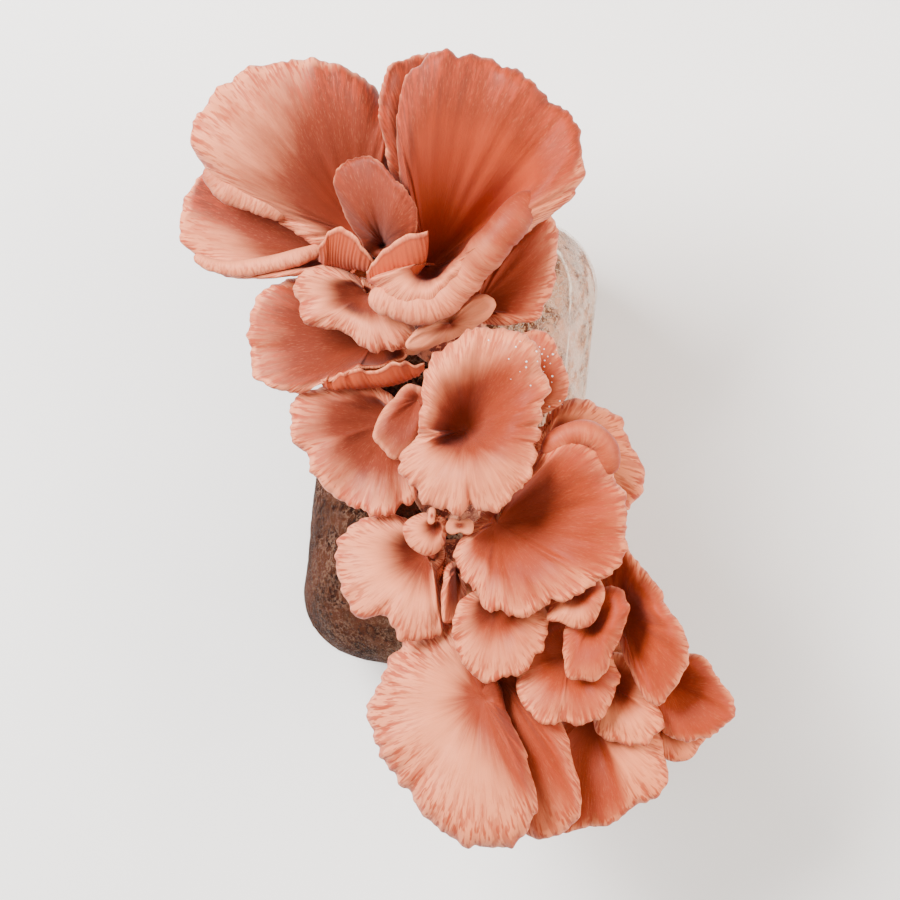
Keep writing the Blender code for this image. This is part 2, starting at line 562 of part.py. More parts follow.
def in_slit(point):
    turn = math.atan2(point.x, point.z - AXIS_HEIGHT)
    right = TEAR_RIGHT if point.y < TEAR_TOP_Y else SLIT_RIGHT
    return SLIT_LEFT < turn < right and SLIT_BOTTOM_Y < point.y < SLIT_TOP_Y


def make_base(base):
    """A dome on the block: rings out from its middle along the top, and back along the block."""

    def ring(share, on_top):
        points = []
        for k in range(KNOT_SPOKES):
            turn = math.tau * k / KNOT_SPOKES
            x = base.centre[0] + share * base.half_width * math.cos(turn)
            y = base.centre[1] + share * base.half_length * math.sin(turn)
            rise = base.dome * (1 - share**2) if on_top else 0
            points.append((x, y, block_height(x, y) + UNDER_KNOT + rise))
        return points

    rings = [ring(share, True) for share in (0.45, 0.8, 0.97)]
    rings += [ring(share, False) for share in (0.97, 0.5)]
    x, y = base.centre
    bottom = block_height(x, y) + UNDER_KNOT
    look = material(f"{base.name}_tissue", STEM_TISSUE, 0.8)
    new_object(base.name, skin(rings, (x, y, bottom + base.dome), (x, y, bottom)), look)


def make_mushroom(mushroom):
    angles = spoke_angles(mushroom, SPOKES[mushroom.size])
    top, rings, foot = lattice(mushroom, angles, UPPER_RINGS, UNDER_RINGS, STEM_RINGS)
    look = material(f"{mushroom.name}_flesh", flesh_colour(mushroom), 0.75)
    new_object(mushroom.name, skin(rings, top, foot), look)


def flesh_colour(mushroom):
    """Salmon pink on the left of the heap, turning orange towards the right."""
    share = np.interp(mushroom.throat[0], (-20, 70), (0, 1))
    return tuple((1 - share) * np.array(PINK_FLESH) + share * np.array(ORANGE_FLESH))


def main():
    for obj in list(bpy.data.objects):
        bpy.data.objects.remove(obj)
    make_block()
    make_bag()
    for base in BASES:
        make_base(base)
    settle(MUSHROOMS)
    for mushroom in MUSHROOMS:
        make_mushroom(mushroom)


main()
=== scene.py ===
"""Pink oyster mushroom grow kit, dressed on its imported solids.

Each mushroom is grown again here from the same rim as its solid, with its ruffles, gills and fibres.
Lengths are in millimetres until a mesh is made.
"""

import json
import math
from typing import NamedTuple

import bmesh
import bpy
import numpy as np
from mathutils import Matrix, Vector

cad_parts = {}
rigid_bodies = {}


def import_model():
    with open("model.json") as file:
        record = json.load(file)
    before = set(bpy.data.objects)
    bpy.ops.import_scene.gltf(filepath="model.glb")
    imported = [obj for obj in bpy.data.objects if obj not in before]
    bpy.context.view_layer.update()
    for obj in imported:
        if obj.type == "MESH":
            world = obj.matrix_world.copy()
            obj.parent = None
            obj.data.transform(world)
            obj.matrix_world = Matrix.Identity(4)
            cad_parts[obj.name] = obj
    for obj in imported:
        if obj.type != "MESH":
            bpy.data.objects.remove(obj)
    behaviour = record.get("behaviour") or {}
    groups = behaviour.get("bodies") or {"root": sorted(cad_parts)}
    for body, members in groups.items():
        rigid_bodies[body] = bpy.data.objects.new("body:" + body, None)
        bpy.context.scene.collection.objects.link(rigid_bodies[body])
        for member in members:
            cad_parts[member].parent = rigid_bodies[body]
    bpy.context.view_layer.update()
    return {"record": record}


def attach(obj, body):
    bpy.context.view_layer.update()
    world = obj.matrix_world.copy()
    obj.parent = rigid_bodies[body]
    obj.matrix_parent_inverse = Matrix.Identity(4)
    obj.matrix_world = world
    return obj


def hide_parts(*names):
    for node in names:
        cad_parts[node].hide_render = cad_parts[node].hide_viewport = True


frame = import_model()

bl_info = {
    "name": "Oyster Mushroom Grow Kit",
    "version": (1, 0, 0),
    "blender": (4, 5, 0),
    "location": "3D View > Sidebar > Grow Kit",
    "description": "Dresses the packed grow kit with its mushrooms, block, film bag and studio",
    "category": "Object",
}

MM = 0.001

# The bag and the block in it, as the solids have them.
BAG_RADIUS = 50.0
BAG_BOTTOM_Y = -88.0
BAG_TOP_Y = 86.0
AXIS_HEIGHT = 48.0
FILM = 0.6
FIT_GAP = 0.35
BLOCK_RADIUS = BAG_RADIUS - FILM - FIT_GAP
END_ROUNDING = 26.0
UNDER_KNOT = 0.9

# The slit in the film, torn wider on the right of its lower end.
SLIT_LEFT = math.radians(-30)
SLIT_RIGHT = math.radians(30)
TEAR_RIGHT = math.radians(45)
TEAR_TOP_Y = -28.0
SLIT_BOTTOM_Y = -73.0
SLIT_TOP_Y = 81.0

# Settling one cap on another: the gap aimed for, what of it may be lost, and how much to smooth.
CLEARANCE = 2.6
SPARE = 1.6
EVEN_OUT = 8

# Where on a section the rings lie: 0 is the throat, 1 the crest and 2 the margin's tip.
UPPER = np.concatenate([np.linspace(0.05, 1.0, 24), np.linspace(1.1, 2.0, 9)])
UNDER = np.concatenate([np.linspace(1.95, 1.0, 5), np.linspace(0.88, 0.16, 9)])
STEM = np.linspace(0.12, 1.0, 8)

# How far a margin turns down past the crest, in degrees.
CURL = 118.0

# How much wider, along its spoke, a roll may be where the margin runs slantwise.
MOST_SLANT = 2.0

# The rings of a mushroom from its throat to its crest, and how many points there are round a roll, a leaf's
# side and a knot.
CREST_RING = int(np.argmax(UPPER >= 1.0))
ROLL_RINGS, ROLL_SIDES = 220, 40
LEAF_SIDES = 12
KNOT_SIDES = 96

# Across the heap the flesh goes from pink to orange between these, from left to right: partly the caps' own
# tone, partly painted light, pinker where the key light falls at the left and more orange in the shade and
# warm bounce at the right.
WARMTH_X = (-35, 65)

# What the painted shade at the left of the bag leaves of the block's colour, the threads' colour in that
# painted shade, and the milky film's colour, partly a painted highlight.
LEFT_SHADE = (0.07, 0.033, 0.024, 1)
SHADED_THREADS = (0.2, 0.1, 0.062, 1)
MILKY = (0.93, 0.78, 0.62, 1)

# Square metres that the chips, the pins and the drops are strewn over, about.
BLOCK_AREA, KNOT_AREA, DEW_AREA = 0.07, 0.002, 0.0004

# Towards the bag's ends its relief fades out, from this radius on.
RELIEF_RADIUS = 12.0

# How strongly the world lights the scene.
WORLD_LIGHT = 0.3

# The editor's grid, for the nodes of a tree.
NODE_STEP = 190

# Seen from above: the middle of the drops on the caps, and the camera.
DEW_MIDDLE = (33.0, 28.0)
CAMERA_X = 0.0005
CAMERA_Y = -0.0046

SLOTS = {part["node"]: part["material_slot"] for part in frame["record"]["subparts"]}


def srgb(red, green, blue):
    """A colour judged, 0 to 255, as the linear colour that a material wants."""
    shares = (red / 255, green / 255, blue / 255)
    return (*(c / 12.92 if c <= 0.04045 else ((c + 0.055) / 1.055) ** 2.4 for c in shares), 1.0)


def millimetres(name, description, default):
    """A length property, its default given in millimetres."""
    return bpy.props.FloatProperty(
        name=name, description=description, default=default * MM, min=0, unit="LENGTH", precision=5
    )


def fraction(name, description, default):
    """A share from 0 to 1."""
    return bpy.props.FloatProperty(
        name=name, description=description, default=default, min=0, max=1, subtype="FACTOR"
    )


def whole_number(name, description, default):
    """A whole number, 0 or more."""
    return bpy.props.IntProperty(name=name, description=description, default=default, min=0)


def watts(name, place, default):
    """The power of a light, in watts."""
    return bpy.props.FloatProperty(
        name=name, description=f"Power of the light {place}", default=default, min=0, unit="POWER"
    )


def colour(name, description, default):
    """A colour property."""
    return bpy.props.FloatVectorProperty(
        name=name, description=description, default=default, min=0, max=1, size=4, subtype="COLOR"
    )


# Where on its section a cap starts to turn pale, unless its shape says so, and the usual shape.
BLOOM = 0.65
SHAPE = ((0, 0.35, 6, 1.1, BLOOM),)


class Base(NamedTuple):
    """A knot of fused stems: a low dome on the block, as an ellipse seen from above."""

    name: str
    centre: tuple
    half_width: float
    half_length: float
    dome: float

    def share(self, x, y):
        """How far out from the knot's middle a place is, squared: 1 at its edge."""
        across = (x - self.centre[0]) / self.half_width
        along = (y - self.centre[1]) / self.half_length
        return across**2 + along**2


BASES = [
    Base("stem_knot_top", (-7, 49), 17, 24, 8),
    Base("stem_knot_middle", (3, -6), 19, 28, 8),
    Base("stem_knot_bottom", (10, -54), 24, 18, 6),
]


class Mushroom:
    """One oyster mushroom. Its rim is a ring of (angle, reach, rise) seen from its throat, with the
    roll of the margin and the bulge of an overhanging wall where they differ from the usual. Its shape
    is a ring of (angle, cup, hollow, crown, bloom): how bowl-like, how wide at the throat, how high
    between, and where on the section it starts to turn pale. Its shade says how soon its throat darkens,
    partly to its own deeper colour and partly as painted shade, and its streaks how marked
    its margin is."""

    def __init__(
        self, name, size, throat, foot, rim,
        shape=SHAPE, stem=5.0, thick=(4.5, 2.0), roll=3.4, shade=1.0, streaks=1.0,
    ):
        self.name = name
        self.size = size
        self.throat = np.array(throat, float)
        self.foot = foot
        self.shape = np.array([key if len(key) > 4 else (*key, BLOOM) for key in sorted(shape)], float)
        self.stem = stem
        self.thick = thick
        self.keys = np.array([self.full(key, roll) for key in sorted(rim)], float)
        self.shade = shade
        self.streaks = streaks
        self.lift = None

    @staticmethod
    def full(key, roll):
        angle, reach, rise, *more = key
        return (angle, reach, rise, more[0] if more else roll, more[1] if len(more) > 1 else 0)


# From the lowest mushroom of the heap to the highest.
MUSHROOMS = [
    Mushroom("cap_low_tip", "small", (88, -94, 97), (29, -65), [
        (-100, 11, 2), (-80, 16, 4), (-64, 18, 4), (-43, 18.5, 5), (-20, 18.5, 5), (15, 13, 5), (70, 7, 4),
        (130, 5.5, 3), (180, 5.5, 2), (-140, 6.5, 2),
    ], stem=2.6, thick=(3, 1.6), roll=2.6, shape=((-60, 0.1, 3, 1.2, 0.4), (130, 0.2, 2, 1.1))),
    Mushroom("fan_bottom_right", "middle", (62, -97, 98), (21, -68), [
        (-125, 30, 3), (-104, 44, 5), (-91, 41.5, 6), (-81, 39.5, 7), (-69, 39, 8), (-56, 37, 10),
        (-45, 37.5, 11), (-30, 36, 11), (-20, 32, 10), (5, 20, 6), (40, 10, 5), (100, 8, 4), (160, 8, 3),
        (-150, 14, 2),
    ], stem=3.4, shade=1.5, roll=4.2, shape=(
        (-100, 0.3, 6, 1.12, 0.9), (-66, 0.3, 6, 1.12, 0.8), (-50, -0.3, 6, 1.34, 0.3),
        (-25, -0.3, 5, 1.34, 0.3), (10, 0.2, 4, 1.1, 0.8), (90, 0.4, 5, 1.08, 1.1),
    )),
    Mushroom("fan_right_tip", "middle", (86, -79, 102), (32, -57), [
        (-100, 15, 3), (-80, 21, 4), (-70, 24, 5), (-50, 27, 7), (-38, 29, 8), (-23, 30, 9), (-14, 28, 10),
        (5, 22, 10), (36, 17, 10), (60, 13, 8), (90, 9, 6), (150, 7, 4), (-150, 8, 3),
    ], stem=3.2, shade=0.3, shape=((0, 0.2, 5, 1.16, 0.9),)),
    Mushroom("cap_low_right", "middle", (68, -84, 103), (27, -60), [
        (-150, 9, 3), (-120, 14, 4), (-95, 20, 6), (-69, 23, 8), (-48, 25, 9), (-31, 25, 9), (-18, 20, 8),
        (10, 16, 7), (60, 14, 6), (130, 12, 5), (180, 9, 4),
    ], stem=3.0, roll=4.0, shape=((-80, -0.3, 4, 1.4, 0.3), (90, 0.1, 4, 1.15, 0.7))),
    Mushroom("fan_bottom_gutter", "middle", (27, -85, 106), (13, -70), [
        (-115, 26, 3), (-88, 50, 5), (-76, 57, 7), (-70, 61, 10, 5), (-61, 61, 12, 6), (-53, 57, 14, 6),
        (-47, 50, 16, 6), (-43, 43, 16, 6), (-36, 34, 15, 5), (-10, 18, 11), (40, 9, 7, 2),
        (120, 8, 5, 1.6), (-160, 9, 4, 1.6),
    ], stem=3.8, shade=0.8, shape=(
        (-80, 0.3, 6, 1.1, 0.55), (-45, 0.2, 6, 1.15, 0.85), (0, 0.45, 6, 1.07, 1.0),
    )),
    Mushroom("fan_bottom_left", "large", (21, -92, 110), (1, -65), [
        (-170, 41, 7, 9), (-155, 43.2, 7.2, 9), (-140, 43.8, 8, 9), (-125, 44.5, 9, 9), (-112, 48.4, 10, 9),
        (-100, 52, 11, 9), (-88, 56, 12, 9), (-76, 56, 15, 9), (-66, 52.5, 17.4, 9), (-57, 45.5, 19, 8),
        (-48, 31, 15, 6), (-38, 18, 8, 3), (-20, 10, 3, 2), (10, 8, 2, 2), (45, 8, 2, 2), (80, 8.5, 2, 2),
        (105, 20, 7, 3), (122, 29, 5.4, 5), (137, 32, 5, 9), (150, 34, 5, 9), (165, 36.5, 5.5, 9),
    ], stem=5.2, thick=(5, 2.4), roll=5.4, shade=0.55, shape=(
        (-165, -0.2, 6, 1.22, 0.15), (-100, -0.2, 7, 1.2, 0.2), (-70, -0.1, 7, 1.16, 0.4),
        (-50, 0.1, 5, 1.1, 1.1), (30, 0.2, 3, 1.05, 1.4), (100, 0.1, 4, 1.08, 0.9),
        (140, -0.1, 6, 1.15, 0.2),
    )),
    Mushroom("fan_right_tall", "middle", (69, -58, 107), (32, -48), [
        (-90, 11, 4), (-78, 20, 7), (-69, 31, 10), (-62, 35, 12), (-49, 32, 17), (-33, 30, 21),
        (-16, 26, 23), (3, 21, 23), (28, 18, 21), (61, 19, 17), (85, 23, 14), (98, 28, 12), (115, 22, 8),
        (150, 9, 5), (-150, 7, 4), (-115, 8, 4),
    ], stem=3.4, roll=4.4, shade=0.6, shape=((0, 0.25, 6, 1.12, 0.85),)),
    Mushroom("cap_scalloped", "middle", (51, -74, 109), (19, -61), [
        (-165, 20, 7), (-151, 23, 8), (-133, 25, 9), (-116, 26, 10), (-97, 27, 11), (-90, 24.5, 11),
        (-77, 27, 12), (-60, 27, 12), (-38, 23, 12), (-17, 21, 11), (0, 18, 10), (35, 16, 9), (90, 16, 9),
        (135, 18, 8), (165, 19, 7),
    ], stem=3.6, roll=4.0, shape=((-100, -0.3, 4, 1.38, 0.6), (60, 0.3, 6, 1.1, 0.9))),
    Mushroom("fan_lower_left", "large", (-4, -43, 110), (-8, -48), [
        (-117, 29, 13), (-110, 30, 14), (-101, 33, 14), (-87, 33.5, 14), (-76, 32, 13), (-68, 23, 12),
        (-58, 14, 9), (-30, 7.5, 6, 2), (20, 7, 6, 1.6), (70, 7, 6, 1.6), (110, 12, 6, 2.4), (135, 20, 8),
        (151, 27, 9), (168, 31, 10), (182, 33.5, 11), (198, 34.5, 12), (214, 35, 13), (231, 33.5, 14),
    ], stem=5, thick=(5, 2.2), roll=4.4, shade=0.7, shape=(
        (-100, -0.25, 6, 1.36, 0.25), (30, 0.2, 3, 1.05), (200, -0.25, 8, 1.36, 0.25),
    )),
    Mushroom("sliver_lower", "small", (7, -48, 113), (3, -46), [
        (-110, 12, 4), (-95, 19, 5), (-80, 19, 5), (-65, 12, 4), (-30, 5, 3), (40, 4.5, 2), (110, 4.5, 2),
        (-175, 5, 3), (-140, 6, 3),
    ], stem=2.4, thick=(3, 1.6), roll=2.4, shape=((0, 0.2, 3, 1.13, 0.6),)),
    Mushroom("cap_lower_middle", "middle", (23, -59, 114), (10, -55), [
        (-150, 19, 8), (-133, 22, 9), (-114, 25, 11), (-96, 28, 12), (-80, 28, 12), (-61, 27, 12),
        (-43, 25, 12), (-28, 23, 12), (-12, 21, 11), (15, 18, 9), (60, 12, 7), (120, 10, 6), (180, 15, 6),
    ], stem=3.8, roll=4.2, shape=((-80, -0.3, 4, 1.38, 0.45), (90, 0.1, 4, 1.15))),
    Mushroom("cap_orange", "middle", (57, -61, 117), (25, -51), [
        (-150, 12, 6), (-120, 18, 8), (-105, 23, 9), (-90, 22, 10), (-72, 20, 11), (-38, 15, 13),
        (0, 14, 15), (25, 16, 15), (55, 18, 13), (75, 15, 11), (105, 10, 8), (160, 9, 6),
    ], stem=3.0, thick=(4, 1.9), shade=0.8, shape=(
        (-110, -0.3, 3, 1.35, 0.75), (-20, -0.2, 3, 1.3, 0.7), (60, 0.1, 3, 1.15, 1.1),
    )),
    Mushroom("cap_lower_right", "small", (51, -49, 121), (22, -43), [
        (-141, 14, 7), (-128, 17, 8), (-112, 16, 9), (-86, 16, 9), (-62, 15, 9), (-29, 12, 9), (0, 11, 8),
        (60, 9, 6), (120, 8, 5), (180, 9, 6),
    ], stem=2.8, thick=(3.2, 1.7), roll=3.2, shade=0.8, shape=(
        (-110, -0.3, 2, 1.42, 0.4), (40, 0.1, 2, 1.15, 0.8),
    )),
    Mushroom("fan_far_right", "middle", (36, 0, 107), (18, 4), [
        (-60, 16, 6), (-45, 28, 8), (-31, 38, 9), (-19, 39, 11), (-8, 37, 12), (8, 32, 14), (31, 29, 15),
        (57, 24, 15), (81, 21, 14), (105, 12, 9), (150, 7, 5), (-150, 7, 4), (-100, 8, 4),
    ], stem=3.8, roll=5.6, shade=0.4, shape=(
        (-30, 0.1, 6, 1.26, 0.25), (50, 0.2, 7, 1.2, 0.35), (150, 0.2, 3, 1.05),
    )),
    Mushroom("cap_behind_funnel", "middle", (19, 15, 110), (14, 15), [
        (-60, 8, 5), (-20, 14, 9), (10, 22, 14), (29, 25, 16), (48, 27, 18), (63, 29, 19), (78, 28, 18),
        (95, 18, 13), (130, 8, 7), (-170, 6.5, 5), (-110, 6.5, 5),
    ], stem=3.4, shape=((45, 0.2, 8, 1.15, 0.7), (180, 0.2, 3, 1.05))),
    Mushroom("fan_middle_left", "large", (-21, 4, 108), (-11, 2), [
        (-109, 36, 12), (-93, 35, 13), (-77, 34, 13), (-68, 30, 13), (-50, 16, 10), (-10, 7, 6), (60, 7, 6),
        (110, 12, 7), (128, 17, 7), (147, 24, 7), (163, 31, 7), (174, 37, 8), (189, 38, 9), (198, 38, 10),
        (209, 34, 11), (220, 36, 11), (235, 35, 11),
    ], stem=4.6, thick=(5, 2.2), roll=4.2, shape=(
        (-90, 0.25, 8, 1.16, 0.6), (30, 0.2, 3, 1.05), (200, 0.25, 10, 1.15, 0.65),
    )),
    Mushroom("young_cap_middle", "small", (-13, 12, 125), (-8, 13), [
        (-110, 24, 5), (-95, 22, 5), (-75, 15, 4), (-40, 7, 2), (30, 5, 1), (90, 6, 1), (122, 8, 2),
        (175, 10, 3), (202, 15, 4), (217, 20, 5), (229, 23, 5),
    ], stem=3, thick=(3.4, 2.2), shade=0.3, streaks=0.4, shape=(
        (220, 0.1, 1, 1.7, 0.75), (40, 0.3, 1, 1.1, 0.9),
    )),
    Mushroom("fan_left", "large", (-31, 32, 107), (-17, 33), [
        (-172, 45.5, 9), (-158, 45, 9), (-147, 40, 9), (-139, 34, 9), (-132, 25, 10, 2.6, 1),
        (-122, 17, 12, 1.8, 1), (-108, 12, 13, 1.6, 2), (-85, 11, 13, 1.6, 2), (-50, 11, 13, 1.6, 2),
        (-20, 14, 11, 1.8, 1), (5, 9, 8, 2), (50, 7, 6), (100, 10, 7), (125, 21, 7), (143, 34, 7),
        (154, 40, 8), (162, 44, 9), (168, 47, 9), (177, 47, 9),
    ], stem=4.5, thick=(4.5, 2.0), shade=1.9, shape=(
        (-172, 0.3, 10, 1.15, 0.7), (-120, 0.4, 8, 1.0, 0.9), (-20, 0.3, 6, 1.0, 0.9),
        (140, 0.3, 9, 1.12, 0.85),
    )),
    Mushroom("shelf_left", "large", (-47, 60, 106), (-20, 51), [
        (-178, 55, 7), (-171, 47.5, 6, 3), (-164, 40, 5, 4), (-159, 29, 5, 4.5), (-150, 17.5, 6, 4),
        (-136, 10.5, 7, 3), (-105, 8, 8, 1.8, 1), (-60, 7, 8, 1.8, 1), (-20, 7, 8, 1.8, 1), (10, 8, 6, 2),
        (50, 7, 5), (100, 16, 5), (130, 36, 6), (146, 53, 6), (158, 59, 6), (168, 60, 6), (175, 59, 6),
    ], stem=4, thick=(4.5, 2.2), shade=1.5, shape=(
        (-171, 0.3, 10, 1.12, 0.45), (-60, 0.2, 4, 1.05), (100, 0.3, 6, 1.1, 1.0), (150, 0.3, 8, 1.1, 1.0),
        (163, 0.3, 10, 1.1, 0.95), (175, 0.3, 10, 1.12, 0.45),
    )),
    Mushroom("cap_upper_left", "middle", (-35, 48, 121), (-19, 42), [
        (-180, 27, 7), (-163, 27, 8), (-149, 26, 9), (-137, 22, 9), (-117, 18, 9), (-96, 20, 11, 4.2),
        (-76, 24, 13, 4.8), (-56, 25, 13, 4.8), (-36, 26, 12, 4.2), (-15, 14, 9), (20, 7, 5), (70, 7, 4),
        (116, 8, 4), (147, 16, 5), (165, 24, 6),
    ], stem=3.4, thick=(4, 2), roll=4.2, shape=(
        (-170, -0.1, 8, 1.26, 0.35), (-60, -0.3, 6, 1.34, 0.35), (60, 0.2, 3, 1.1),
    )),
    Mushroom("fan_top_left", "large", (-40, 69, 119), (-15, 69), [
        (70, 30, 17), (80, 43, 24), (89, 52, 28), (98, 57, 30), (107, 61, 30), (116, 65, 30), (125, 68, 29),
        (135, 70, 28), (144, 72, 26), (152, 71, 23), (159, 66, 19), (165, 58, 14), (169, 47, 11),
        (175, 32, 7), (192, 20, 4), (215, 12, 4), (260, 8, 4), (320, 7, 4), (20, 8, 5), (50, 16, 10),
    ], stem=5, thick=(5, 2.2), roll=4.4, shade=1.3, shape=(
        (65, 0.4, 8, 1.05, 1.4), (98, 0.4, 12, 1.05, 1.1), (120, 0.4, 12, 1.08, 0.65),
        (150, 0.3, 10, 1.1, 0.45), (168, 0.2, 8, 1.12, 0.5), (250, 0.2, 3, 1.1),
    )),
    Mushroom("fan_top_back", "middle", (-17, 82, 108), (-4, 70), [
        (80, 49, 33), (95, 52, 34), (108, 50, 32), (119, 42, 27), (135, 24, 12), (170, 9, 7), (-120, 7, 4),
        (-60, 7, 4), (0, 8, 6), (45, 26, 20),
    ], stem=3.8, shade=0.4, shape=((0, 0.3, 6, 1.10, 1.1),)),
    Mushroom("fan_upper_right", "middle", (5, 48, 122), (6, 57), [
        (-60, 8, 2), (-19, 16, 4), (-7, 23, 5), (7, 25, 7), (27, 30, 9), (42, 36, 12), (56, 42, 15),
        (72, 26, 10), (100, 8, 5), (160, 6, 3), (-110, 6, 2),
    ], stem=3.4, roll=4.4, shade=0.1, shape=((50, 0.25, 6, 1.12, 0.75), (200, 0.2, 3, 1.05))),
    Mushroom("bud_upper", "small", (-4, 40, 132), (2, 39), [
        (-99, 9, -2), (-60, 8, -2), (-2, 11, -2), (18, 16, -1.5), (31, 18.5, -1), (42, 17.5, -1),
        (51, 16, -1.5), (64, 12, -2), (80, 9.5, -2), (120, 8, -2), (180, 11, -2), (200, 16, -2.5),
        (211, 19.5, -3), (222, 18, -3), (230, 15.5, -2.5), (245, 11, -2),
    ], stem=2.2, thick=(2.8, 1.5), roll=4, shade=0.1, streaks=0.0, shape=(
        (30, 1, 1, 0.6, 0.1), (210, 1, 1, 0.6, 0.25),
    )),
    Mushroom("funnel_top", "large", (-14, 60, 112), (-6, 52), [
        (-157, 24, 33, 5), (-148, 25, 32, 6), (-124, 24, 31, 6.5), (-101, 23, 31, 6.5),
        (-82, 22, 31.5, 6.5), (-58, 19, 32, 6.5), (-37, 18.5, 33, 6.5), (-16, 20, 35, 6.5),
        (5, 25.5, 35, 6.5), (14, 31, 37, 6.5), (20, 36, 39, 6.5), (24, 41, 41, 6), (27, 49, 43, 6),
        (30, 57, 45, 5.5), (35, 62.5, 46), (46, 68, 46), (53, 70.5, 46), (63, 71, 47), (72, 72, 47),
        (82, 73, 47), (90, 73, 47), (96, 70, 45), (103, 64, 41), (108, 52, 36), (113, 36, 29),
        (120, 16, 17), (150, 8, 12), (182, 10, 22),
    ], stem=6, thick=(5, 2.4), roll=4.4, shade=3, shape=(
        (-157, -0.7, 4, 1.3, 0.3), (-100, -0.7, 5, 1.3, 0.3), (-50, -0.7, 6, 1.3, 0.3),
        (-16, -0.7, 7, 1.3, 0.35), (5, -0.7, 9, 1.26, 0.4), (18, -0.8, 14, 1.22, 0.45),
        (26, -0.8, 20, 1.16, 0.5), (33, -0.8, 25, 1.08, 0.6), (38, -0.5, 30, 1.0, 0.9),
        (43, 0.1, 36, 0.94, 1.3), (50, 0.4, 28, 0.92, 1.5), (60, 0.5, 18, 0.94, 1.5),
        (85, 0.5, 14, 0.96, 1.4), (105, 0.4, 10, 1.0, 1.3), (150, 0, 4, 1.1, 0.9),
    )),
    Mushroom("young_cap_top", "middle", (-31, 66, 124), (-19, 60), [
        (11, 11.5, 11), (30, 14, 13), (47, 16.5, 16), (64, 18.5, 19), (79, 21.5, 22), (100, 28, 24),
        (115, 31, 24), (127, 30.5, 22), (135, 27, 20), (144, 21, 16), (158, 13, 11), (180, 8, 8, 2),
        (206, 7, 6, 2), (231, 6, 5, 2), (270, 6, 6, 2), (320, 7, 8, 2), (350, 9.5, 10, 2),
    ], stem=2.8, thick=(3.2, 1.8), roll=3, streaks=0.3, shape=((0, -0.2, 1, 1.04, 1.3),), shade=0.35),
    Mushroom("fan_right", "large", (20, -29, 121), (14, -19), [
        (-157, 14, 6), (-141, 20, 8), (-121, 23, 10), (-104, 27, 11), (-92, 31, 12), (-78, 34, 13),
        (-57, 36, 13), (-40, 37, 14), (-29, 40, 16), (-20, 45, 18), (-10, 46.5, 20), (4, 47, 22),
        (16, 46.5, 24, 6), (26, 47, 26, 7.5), (37, 48, 29, 8.5), (46, 48.5, 31, 9), (56, 45, 31, 9),
        (65, 36, 30, 8), (76, 22, 20, 6), (100, 10, 9), (160, 8, 4),
    ], stem=5, thick=(5, 2.4), roll=4.6, shade=0.4, shape=(
        (-157, 0, 6, 1.15, 0.6), (-90, 0, 8, 1.22, 0.6), (-40, 0.05, 8, 1.2, 0.65), (0, 0.2, 9, 1.14, 0.8),
        (20, 0.3, 11, 1.1, 0.85), (50, 0.3, 12, 1.12, 0.8), (62, 0.2, 10, 1.12, 0.7),
        (120, 0.2, 4, 1.05, 1.0),
    )),
    Mushroom("cap_small_centre", "small", (-1.5, -32.4, 120), (-3, -30.5), [
        (-66, 9, 5), (-90, 11.5, 6), (-120, 13, 7), (-146, 13.5, 7), (-168, 13.5, 7), (151, 9.5, 6),
        (90, 5, 3), (20, 5, 3), (-30, 6, 4),
    ], stem=2.4, thick=(3, 1.7), roll=2.6, shape=((200, -0.3, 2, 1.45, 0.3), (40, 0.2, 2, 1.1, 0.5))),
    Mushroom("cup_centre", "small", (6.6, -31, 132.5), (4.5, -29.5), [
        (-80, 4.2, -1.2), (-20, 6.4, -1.2), (20, 6.2, -1.2), (90, 3.6, -1.2), (160, 5.6, -1.2),
        (-150, 6.2, -1.2),
    ], stem=2.2, thick=(2.4, 1.4), roll=2.2, shade=0.1, streaks=0.0, shape=((0, 1, 0.5, 0.6, 0.2),)),
    Mushroom("bud_centre", "small", (-3.6, -28.6, 133.5), (-4, -28), [
        (0, 3.2, -1), (90, 5, -1.2), (180, 3.2, -1), (-90, 5, -1.2),
    ], stem=1.7, thick=(2.2, 1.2), roll=2.6, shade=0.1, streaks=0.0, shape=((0, 1, 0.5, 0.6, 0.1),)),
    Mushroom("funnel_centre", "large", (5, 3, 127), (4, 2), [
        (-90, 32, 21), (-74, 32, 22), (-53, 32, 23), (-35, 31, 24), (-17, 29, 26), (6, 29, 28),
        (22, 30, 29), (32, 33, 29), (44, 36, 30), (56, 38, 31), (66, 39, 31), (76, 38, 31), (88, 36, 31),
        (98, 33, 30), (110, 30, 29), (124, 27, 28, 3.6), (138, 22, 27, 2.6), (160, 17, 26, 2),
        (182, 16, 23, 2), (194, 19, 21), (204, 24, 19, 4.6), (215, 28, 18, 4.6), (233, 30, 19, 4.6),
        (252, 31, 20, 4.4),
    ], stem=6.5, thick=(5, 2.6), roll=5.2, shade=0.55, streaks=0.7, shape=(
        (-100, -0.7, 5, 1.34, 0.4), (-50, -0.7, 4.5, 1.34, 0.45), (-10, -0.4, 5, 1.24, 0.7),
        (25, 0, 6, 1.08, 0.85), (55, 0.3, 6, 1.0, 0.7), (95, 0.4, 7, 1.0, 0.45), (130, 0.45, 7, 1.0, 0.45),
        (160, 0.7, 6, 0.98, 0.5), (188, 0.6, 8, 1.0, 0.6), (205, -0.2, 10, 1.16, 0.5),
        (225, -0.6, 7, 1.3, 0.4),
    )),
]


class Leaf(NamedTuple):
    """A margin that stands up and leans in, so its gills show from above. It runs between its root
    and its rim, each given by a few places from left to right, seen from its gilled side."""

    name: str
    parent: str
    root: list
    rim: list
    bow: float
    thick: float = 1.5
    waviness: float = 0.5


